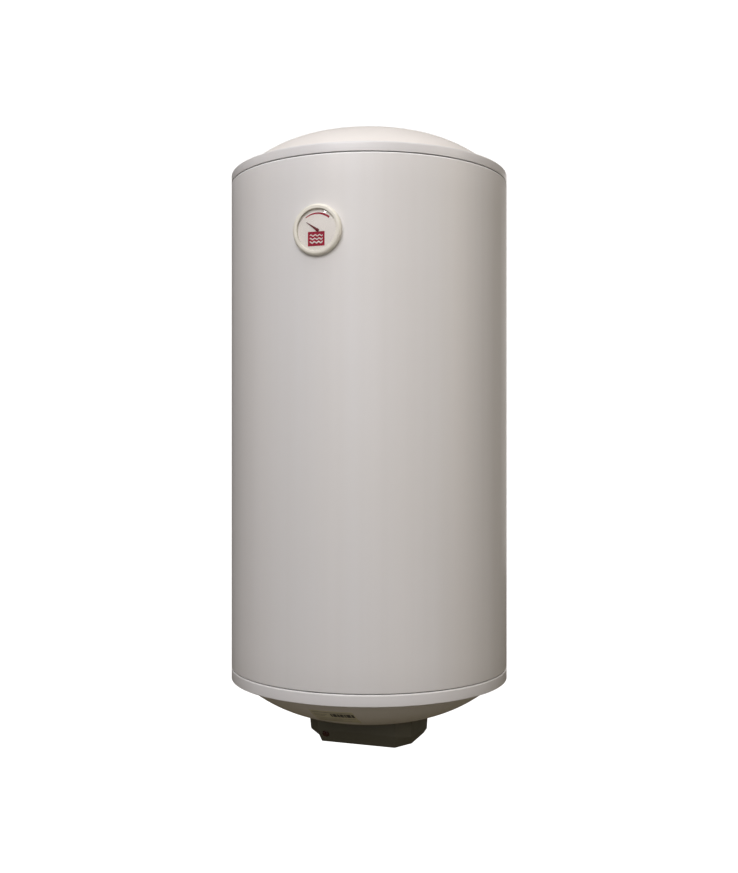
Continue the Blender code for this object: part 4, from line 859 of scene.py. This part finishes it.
def ring(name, node, side, slot):
    """Coloured mark ring around a pipe, with a finger-grip edge."""
    low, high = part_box(node)
    inner = PIPE_RADIUS + FIT
    neck = PIPE_RADIUS + 0.0025
    flat = low.z + 0.004
    profile = rounded([
        (inner, low.z, 0.0005), (RING_RADIUS, low.z, 0.0010), (RING_RADIUS, flat, 0.0006),
        (neck, flat), (neck, high.z, 0.0003), (inner, high.z, 0.0003),
    ])

    def ripple(angle, radius, height):
        return radius - 0.0004 * max(0.0, math.cos(angle * 24)) if radius > RING_RADIUS - 0.0008 else radius

    lathe(name, profile, slot, node, 144, at(side, PIPE_AT), ripple=ripple, sharp=45)


# ---- Control cover ----
def housing_plan(front, side, cheek, rises=(0, 0, 0)):
    half = [
        (side - cheek[0], -front, rises[0]),
        (side, cheek[1] - front, rises[1]),
        (side, HOUSING_BACK - HOUSING_NOTCH, rises[2]),
        (side - HOUSING_NOTCH, HOUSING_BACK, rises[2]),
    ]
    return [Vector(p) for p in half] + [Vector((-x, y, z)) for x, y, z in reversed(half)]


def inset_plan(outline, distance):
    moved = []
    for before, point, after in zip(outline[-1:] + outline[:-1], outline, outline[1:] + outline[:1]):
        one = (point - before).xy.normalized().orthogonal()
        two = (after - point).xy.normalized().orthogonal()
        shift = (one + two) * distance / (1 + one.dot(two))
        moved.append(point + shift.to_3d())
    return moved


HOUSING = Matrix.Translation((AXIS_X, AXIS_Y, HOUSING_UNDER))
GLAND_Z = HOUSING_UNDER + BEVEL_RISE[2] + 0.0135
GLAND = Matrix.Translation((AXIS_X + GLAND_AT, AXIS_Y + HOUSING_BACK, GLAND_Z))
GLAND @= Matrix.Rotation(-math.pi / 2, 4, "X")


def lamp_frame():
    """The lamp's place on the front bevel, its z pointing out."""
    slope = Vector((BEVEL_IN_FRONT, -BEVEL_RISE[0])).normalized() * LAMP_DOWN
    y = -HOUSING_FRONT + slope.x
    z = BEVEL_RISE[0] + slope.y
    lean = math.atan2(BEVEL_IN_FRONT, BEVEL_RISE[0])
    return HOUSING @ Matrix.Translation((LAMP_AT, y, z)) @ Matrix.Rotation(math.pi / 2 + lean, 4, "X")


LAMP = lamp_frame()


def housing():
    """Moulded control cover: softened edges, a dished knob well, screw wells and a lamp seat."""
    cheek = (HOUSING_CHEEK, HOUSING_CHEEK)
    roof_rise = BOTTOM_Z - HOUSING_UNDER - BOTTOM_RIM_HEIGHT - BOTTOM_RISE / 2
    lean = (roof_rise - BEVEL_RISE[1]) * HOUSING_DRAFT
    base = housing_plan(HOUSING_FRONT - BEVEL_IN_FRONT, HOUSING_SIDE - BEVEL_IN_SIDE, BASE_CHEEK)
    crease = housing_plan(HOUSING_FRONT, HOUSING_SIDE, cheek, BEVEL_RISE)
    roof = housing_plan(HOUSING_FRONT + lean, HOUSING_SIDE + lean, cheek, (roof_rise,) * 3)
    made = piece("control_housing", stacked((base, crease, roof), HOUSING), "housing_grey", "control_cover")
    bevelled(made, 0.0014, 8, 4)
    floor = [p + Vector((0, 0, HOUSING_WALL)) for p in inset_plan(base, HOUSING_WALL)]
    fold = [p + Vector((0, 0, HOUSING_WALL * 0.3)) for p in inset_plan(crease, HOUSING_WALL)]
    mouth = [p + Vector((0, 0, 0.01)) for p in inset_plan(roof, HOUSING_WALL)]
    scribe = [(r, h + FIT) for r, h in cover_curve(False, 0, SERVICE_RADIUS, 24)]
    scribe.insert(0, (0, scribe[0][1]))
    scribe += [(scribe[-1][0], -0.02), (0, -0.02)]
    tools = [
        stacked((floor, fold, mouth), HOUSING),
        turned(ends(scribe, False), 192, closed=False),
        plug(KNOB_RADIUS + KNOB_CLEAR, -0.01, 0.01, HOUSING, 96),
        plug(LAMP_RADIUS - 0.001 + FIT, -0.012, 0.012, LAMP),
        plug(0.0084, -0.01, 0.01, GLAND),
    ]
    # The knob's well: a shallow dish around its hole.
    dish = [(0, -0.001), (KNOB_RADIUS + 0.0028, -0.001), (KNOB_RADIUS + 0.0012, 0.0008), (0, 0.0008)]
    tools.append(turned(dish, 96, HOUSING, closed=False))
    for side in (-1, 1):
        tools.append(plug(0.0022, -0.01, 0.01, at(side, HOUSING_SCREW_AT, HOUSING), 24))
    cut(made, *tools)


def housing_marks():
    """Temperature scale moulded around the knob: plain ticks that grow from cool to hot, and a wedge."""
    sunk = 0.0001
    proud = -0.00025
    ticks = 13
    bm = bmesh.new()
    for i in range(ticks):
        share = i / (ticks - 1)
        angle = -math.pi / 2 + math.radians(-135 + 270 * share)
        length = 0.0026 if i % 3 else 0.0042
        place = HOUSING @ Matrix.Rotation(angle, 4, "Z") @ Matrix.Translation((0.0236 + length / 2, 0, 0))
        outline = soft_box(length / 2, 0.0005 + 0.0006 * share, 0.0003, steps=3)
        slab(outline, sunk, proud, place, bm)
    piece("knob_scale_ticks", bm, "housing_grey", material=INK_WHITE)
    inner = 0.0290
    steps = 72
    sections = []
    for i in range(steps + 1):
        angle = -math.pi / 2 + math.radians(-125 + 250 * i / steps)
        outer = inner + 0.0003 + 0.0018 * i / steps
        corners = ((inner, sunk), (outer, sunk), (outer, proud), (inner, proud))
        sections.append([around(radius, angle, height) for radius, height in corners])
    piece("knob_scale_wedge", stacked(sections, HOUSING), "housing_grey", material=INK_WHITE)


def cross_recess(size, depth, place):
    """Cutters for a cross-head recess."""
    tools = []
    for turn in (0, math.pi / 2):
        spot = place @ Matrix.Rotation(turn, 4, "Z")
        wide = soft_box(size, size * 0.22, size * 0.1, steps=2)
        narrow = soft_box(size * 0.55, size * 0.16, size * 0.1, steps=2)
        tools.append(stacked([level(wide, -0.0004), level(narrow, depth)], spot))
    return tools


def housing_screws():
    head = 0.0036
    shank = 0.0015
    for side, node in ((-1, "cover_screw_left"), (1, "cover_screw_right")):
        low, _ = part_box(node)
        seat = HOUSING_UNDER - FIT - low.z
        place = at(side, HOUSING_SCREW_AT, AXIS @ Matrix.Translation((0, 0, low.z)))
        profile = [
            (0, 0), (0.0010, 0.00004), (0.0020, 0.00025), (0.0029, 0.0007), (0.0034, 0.0012),
            (head, 0.0017), (head, seat - 0.0001), (head - 0.0001, seat),
            (shank, seat), (shank, seat + 0.014), (0, seat + 0.016),
        ]
        made = lathe(f"housing_{node.split('_', 1)[1]}", profile, "zinc_steel", node, 48, place)
        cut(made, *cross_recess(0.0021, 0.0016, place))


def knob():
    """Setting knob with a knurled skirt, a rounded grip and a pointer."""
    low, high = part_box("thermostat_knob")
    place = Matrix.Translation((AXIS_X, AXIS_Y, low.z))
    top = high.z - low.z
    face = 0.003
    skirt = [(KNOB_RADIUS - 0.0030, face, 0.0012), (KNOB_RADIUS - 0.0004, face + 0.0030, 0.0010)]
    profile = rounded([(0, face), *skirt, (KNOB_RADIUS, top, 0.0005), (0, top)])

    def ripple(angle, radius, height):
        if radius < KNOB_RADIUS - 0.0028 or height < face + 0.0008:
            return radius
        return radius - 0.00045 * (0.5 + 0.5 * math.cos(angle * 36)) ** 3

    lathe("setting_knob", profile, "knob_grey", "thermostat_knob", 288, place, "knob", ripple, sharp=50)
    length = 2 * KNOB_RADIUS - 0.010
    steps = (
        (0.0016, 0.0), (0.0007, 0.0003), (0.0002, 0.0010), (0.0, 0.0022),
        (-0.0004, face + 0.0002), (-0.0011, face + 0.0008),
    )
    sections = [level(oblong(0.007 - inset * 2, length - inset * 2, steps=14), z) for inset, z in steps]
    sections.append(level(oblong(0.0092, length + 0.0022, steps=14), face + 0.002))
    piece("setting_knob_grip", stacked(sections, place), "knob_grey", body="knob", sharp=50)
    pointer = soft_box(0.0006, 0.0045, 0.0004, (0, -length / 2 + 0.0065), 3)
    bm = slab(pointer, 0, 0.0006, place)
    piece("setting_knob_pointer", bm, "knob_grey", body="knob", material=INK_WHITE)


def lamp():
    """Pilot lamp's fluted lens with a lip."""
    lip = 0.0010
    crown = 0.0028
    bore = LAMP_RADIUS - 0.001
    back = -0.0035
    profile = rounded([
        (0, back), (bore, back), (bore, FIT), (LAMP_RADIUS, FIT, 0.0002), (LAMP_RADIUS, lip, 0.0005),
        (LAMP_RADIUS * 0.80, lip + 0.0003, 0.0003), (LAMP_RADIUS * 0.72, crown - 0.0006, 0.0004),
    ], 4)
    for i in range(1, 9):
        t = i / 8
        radius = LAMP_RADIUS * 0.66 * (1 - t)
        groove = 0.0 if i % 2 else 0.00012
        profile.append(Vector((radius, crown - 0.0003 * (1 - t) ** 2 - groove)))

    def ripple(angle, radius, height):
        if radius > LAMP_RADIUS * 0.82 or height < lip:
            return radius
        return radius * (1 - 0.03 * math.cos(angle * 12))

    return lathe("pilot_lamp_cap", profile, "lamp_red", "pilot_lamp_lens", 96, LAMP, ripple=ripple, sharp=40)


def gland():
    """Cable gland with a fluted dome nut and a rubber seal in its mouth."""
    bore = 0.0045
    neck = 0.008
    shoulder = 0.0105
    nose = 0.0085
    reach = 0.012
    profile = rounded([
        (bore, -0.0085), (neck, -0.0085, 0.0004), (neck, FIT), (shoulder, FIT, 0.0004),
        (shoulder, 0.0060, 0.0010), (nose, reach, 0.0012), (bore, reach, 0.0006),
    ])

    def ripple(angle, radius, height):
        if radius < neck + 0.0002 or not 0.0008 < height < 0.0105:
            return radius
        return radius - 0.0005 * (0.5 + 0.5 * math.cos(angle * 16)) ** 4

    lathe("cable_entry", profile, "black_plastic", "cable_gland", 160, GLAND, ripple=ripple, sharp=45)
    lip = bore - 0.0008
    edge = bore + 0.0002
    seal = rounded([(lip, 0.0020, 0.0003), (edge, 0.0020), (edge, 0.0105), (lip, 0.0105, 0.0004)])
    lathe("cable_entry_seal", seal, "gasket_rubber", None, 64, GLAND)


# ---- Thermometer ----
def bezel():
    """Cream surround with a leaning flank, its back following the casing's curve."""
    lip = GAUGE_FACE - 0.0010
    under = LENS_LEVEL + LENS_THICK + FIT
    seat = 0.0018
    cup = 0.0274
    back = -0.004
    foot = GAUGE_RADIUS - 0.0006
    front = rounded([
        (foot, back), (foot, 0.0008, 0.0003), (GAUGE_RADIUS, 0.0014, 0.0003),
        (GAUGE_RADIUS, 0.0044, 0.0012), (GAUGE_RADIUS - 0.0012, 0.0062, 0.0010),
        (GAUGE_RADIUS - 0.0030, GAUGE_REACH, 0.0009), (lip + 0.0006, GAUGE_REACH, 0.0004),
        (lip, GAUGE_REACH - 0.0004, 0.0002), (lip, under), (GAUGE_FACE + FIT, under),
        (GAUGE_FACE + FIT, seat), (cup, seat), (cup, back),
    ])
    bm = turned(front, 192, GAUGE)
    for vertex in bm.verts:
        local = GAUGE.inverted() @ vertex.co
        if local.z < -0.001:
            local.z = math.sqrt((RADIUS + FIT) ** 2 - local.x**2) - RADIUS
            vertex.co = GAUGE @ local
    return piece("gauge_bezel", bm, "gauge_cream", "thermometer_bezel", sharp=40)


def dial():
    """Dial plate with a scale that thickens towards hot, and a plain block with three waves."""
    back = DIAL_LEVEL - 0.0008
    hole = 0.0012
    border = DIAL_LEVEL - 0.0001
    plate = [
        (hole, back), (GAUGE_FACE, back), (GAUGE_FACE, border), (GAUGE_FACE - 0.0014, border),
        (GAUGE_FACE - 0.0017, DIAL_LEVEL), (hole, DIAL_LEVEL),
    ]
    lathe("gauge_dial", plate, "dial_print", "thermometer_dial", 160, GAUGE)

    ink = 0.00008
    middle = Vector((-0.0005, -0.0060, DIAL_LEVEL))
    reach = 0.0299
    rows = []
    for i in range(65):
        t = i / 64
        angle = math.radians(90 + 36 - 76 * t)
        half = 0.00045 + 0.00110 * t**0.6
        edges = ((-half, 0), (half, 0), (half, ink), (-half, ink))
        rows.append([middle + around(reach + across, angle, height) for across, height in edges])
    piece("dial_scale_arc", stacked(rows, GAUGE), "dial_print", material=INK_RED)

    block_x, block_y = -0.0014, -0.0130
    block = soft_box(0.0130, 0.0105, 0.0008, (block_x, block_y))
    piece("dial_block", slab(block, DIAL_LEVEL, DIAL_LEVEL + ink, GAUGE), "dial_print", material=INK_RED)
    bm = bmesh.new()
    for line in range(3):
        rows = []
        half = 0.0008 + 0.00015 * line
        for i in range(61):
            t = i / 60
            x = block_x - 0.0100 + 0.0200 * t
            y = block_y + 0.0050 * (1 - line) + 0.0009 * math.sin(t * math.tau * 3 + line * 0.6)
            edges = ((-half, ink), (half, ink), (half, ink * 2), (-half, ink * 2))
            rows.append([(x, y + dy, DIAL_LEVEL + height) for dy, height in edges])
        stacked(rows, GAUGE, bm)
    piece("dial_waves", bm, "dial_print", material=INK_WHITE)


def needle():
    """Tapered pointer with a domed hub."""
    place = GAUGE @ Matrix.Rotation(NEEDLE_REST, 4, "Z")
    low = NEEDLE_LEVEL
    tail = 0.0032
    steps = 30
    sections = []
    for i in range(steps + 1):
        t = i / steps
        y = -tail + (NEEDLE_LENGTH + tail) * t
        half = 0.0019 - 0.0016 * max(0.0, y) / NEEDLE_LENGTH
        rise = low + 0.00045 - 0.00015 * t
        flat = half * 0.8
        top = [(flat, y, rise), (0, y, rise + 0.0001), (-flat, y, rise)]
        sections.append([(-half, y, low), (half, y, low), *top])
    piece("gauge_needle", stacked(sections, place), "needle_red", "thermometer_needle", "needle", sharp=20)
    hub = [
        (0, low - 0.0001), (0.0024, low - 0.0001), (0.0024, low + 0.0006), (0.0022, low + 0.0009),
        (0.0016, low + 0.0011), (0, low + 0.0012),
    ]
    lathe("gauge_needle_hub", hub, "needle_red", None, 64, place, "needle")
    shaft_low = -0.012
    shaft = [(0, shaft_low), (0.0007, shaft_low), (0.0007, low), (0, low)]
    lathe("gauge_needle_shaft", shaft, "bare_steel", None, 24, place, "needle")


def lens():
    """Clear cover of the dial, slightly crowned."""
    rim_radius = GAUGE_FACE - 0.0001
    face = LENS_LEVEL + LENS_THICK
    crown_radius = GAUGE_FACE - 0.0012
    profile = [(0, LENS_LEVEL), (rim_radius, LENS_LEVEL), (rim_radius, face), (crown_radius, face)]
    for i in range(1, 25):
        t = i / 24
        profile.append((crown_radius * (1 - t), face + 0.0007 * (1 - (1 - t) ** 2)))
    return lathe("gauge_lens", profile, "clear_lens", "thermometer_lens", 160, GAUGE, sharp=40)


# ---- Build the pieces ----
casing()
casing_seam()
rim("top_band", "top_rim", True)
rim("bottom_band", "bottom_rim", False)
dome("top_dome", "top_cover", True)
bottom_dome()
label()
hanger("upper_hanger", "upper_wall_bracket")
hanger("lower_hanger", "lower_wall_bracket")
pipe("cold_inlet_pipe", "cold_inlet_nipple", 1)
pipe("hot_outlet_pipe", "hot_outlet_nipple", -1)
ring("cold_mark_ring", "cold_inlet_ring", 1, "mark_blue")
ring("hot_mark_ring", "hot_outlet_ring", -1, "mark_red")
housing()
housing_marks()
housing_screws()
knob()
lamp()
gland()
bezel()
dial()
needle()
lens()

# ---- The nodes that keep their CAD shape ----
for node in frame["nodes"].values():
    for slot_place in node.material_slots:
        old = slot_place.material
        if old and old.name.split(".")[0] in MATERIALS:
            slot_place.material = MATERIALS[old.name.split(".")[0]]


# ---- Stage ----
def stage():
    """Pale studio: a level floor that runs up into its walls and ceiling without a corner."""
    floor = -2.40
    reach = 6.0
    height = 7.0
    curve = 1.6
    flat = reach - curve
    arc = [math.pi / 2 * i / 12 for i in range(13)]
    profile = [(0, floor), (flat, floor)]
    profile += [(flat + curve * math.sin(a), floor + curve - curve * math.cos(a)) for a in arc[1:]]
    profile += [(flat + curve * math.cos(a), floor + height - curve + curve * math.sin(a)) for a in arc]
    profile.append((0, floor + height))
    mesh = meshed("studio", turned(profile, 64, Matrix(), closed=False))
    mesh.shade_smooth()
    made = placed("studio", mesh)
    material = bpy.data.materials.new("studio_white")
    material.use_nodes = True
    shader = material.node_tree.nodes["Principled BSDF"]
    shader.inputs["Base Color"].default_value = (0.8, 0.8, 0.8, 1)
    shader.inputs["Roughness"].default_value = 0.9
    shader.inputs["Emission Color"].default_value = (1, 1, 1, 1)
    shader.inputs["Emission Strength"].default_value = 1.0
    mesh.materials.append(material)
    made.visible_diffuse = False
    made.visible_glossy = False
    made.visible_shadow = False


def light(name, place, target, size, power, colour):
    data = bpy.data.lights.new(name, "AREA")
    data.shape = "RECTANGLE"
    data.size, data.size_y = size
    data.energy = power
    data.color = colour
    made = placed(name, data)
    made.location = place
    made.rotation_euler = (Vector(target) - Vector(place)).to_track_quat("-Z", "Y").to_euler()
    made.visible_camera = False


def world():
    """Dim surroundings: brighter above, darkest at eye level, and warm from below."""
    made = bpy.data.worlds.new("surroundings")
    made.use_nodes = True
    tree = made.node_tree
    background = tree.nodes["Background"]
    coordinates = tree.nodes.new("ShaderNodeTexCoord")
    split = tree.nodes.new("ShaderNodeSeparateXYZ")
    ramp = tree.nodes.new("ShaderNodeValToRGB")
    stops = ramp.color_ramp.elements
    stops[0].color = (0.100, 0.082, 0.050, 1)
    stops[1].color = (0.26, 0.245, 0.235, 1)
    stops.new(0.45).color = (0.060, 0.052, 0.038, 1)
    stops.new(0.62).color = (0.060, 0.055, 0.050, 1)
    ranged = tree.nodes.new("ShaderNodeMapRange")
    ranged.inputs["From Min"].default_value = -1
    ranged.inputs["From Max"].default_value = 1
    tree.links.new(coordinates.outputs["Generated"], split.inputs["Vector"])
    tree.links.new(split.outputs["Z"], ranged.inputs["Value"])
    tree.links.new(ranged.outputs["Result"], ramp.inputs["Fac"])
    tree.links.new(ramp.outputs["Color"], background.inputs["Color"])
    background.inputs["Strength"].default_value = 1.0
    bpy.context.scene.world = made


def camera():
    """Level with the heater's middle, a little to its right, with an upright frame."""
    data = bpy.data.cameras.new("camera")
    data.sensor_width = 36
    data.lens = 43.88
    data.shift_y = 0.0115
    data.clip_end = 50
    made = placed("camera", data)
    made.location = (0.580, -1.897, -0.2656)
    made.rotation_euler = (math.pi / 2, 0, math.radians(19.3))
    bpy.context.scene.camera = made


stage()
world()
camera()
centre = (AXIS_X, AXIS_Y, -0.25)
light("key", (0.0, -3.0, 1.9), centre, (1.8, 1.4), 51, (1.0, 0.985, 0.995))
light("front_fill", (0.6, -3.6, 0.5), centre, (2.4, 2.0), 29, (1.0, 0.965, 0.955))
light("right_side", (2.7, -0.55, 0.7), centre, (1.2, 2.4), 15, (1.0, 0.90, 0.76))
light("left_side", (-2.6, -1.0, 0.8), centre, (1.2, 2.4), 3.5, (1.0, 0.88, 0.80))
light("glint", (-0.758, -2.636, 0.770), (0.011, -0.470, 0.075), (0.045, 0.065), 0.3, (1.0, 1.0, 1.0))
light("back_fill", (0.0, 3.4, 0.1), centre, (2.6, 2.0), 22, (1.0, 0.97, 0.95))
light("overhead", (0.0, -0.9, 2.2), (0, -0.24, 0.2), (1.6, 1.2), 15, (1.0, 0.98, 0.97))
bpy.context.scene.view_settings.view_transform = "Standard"
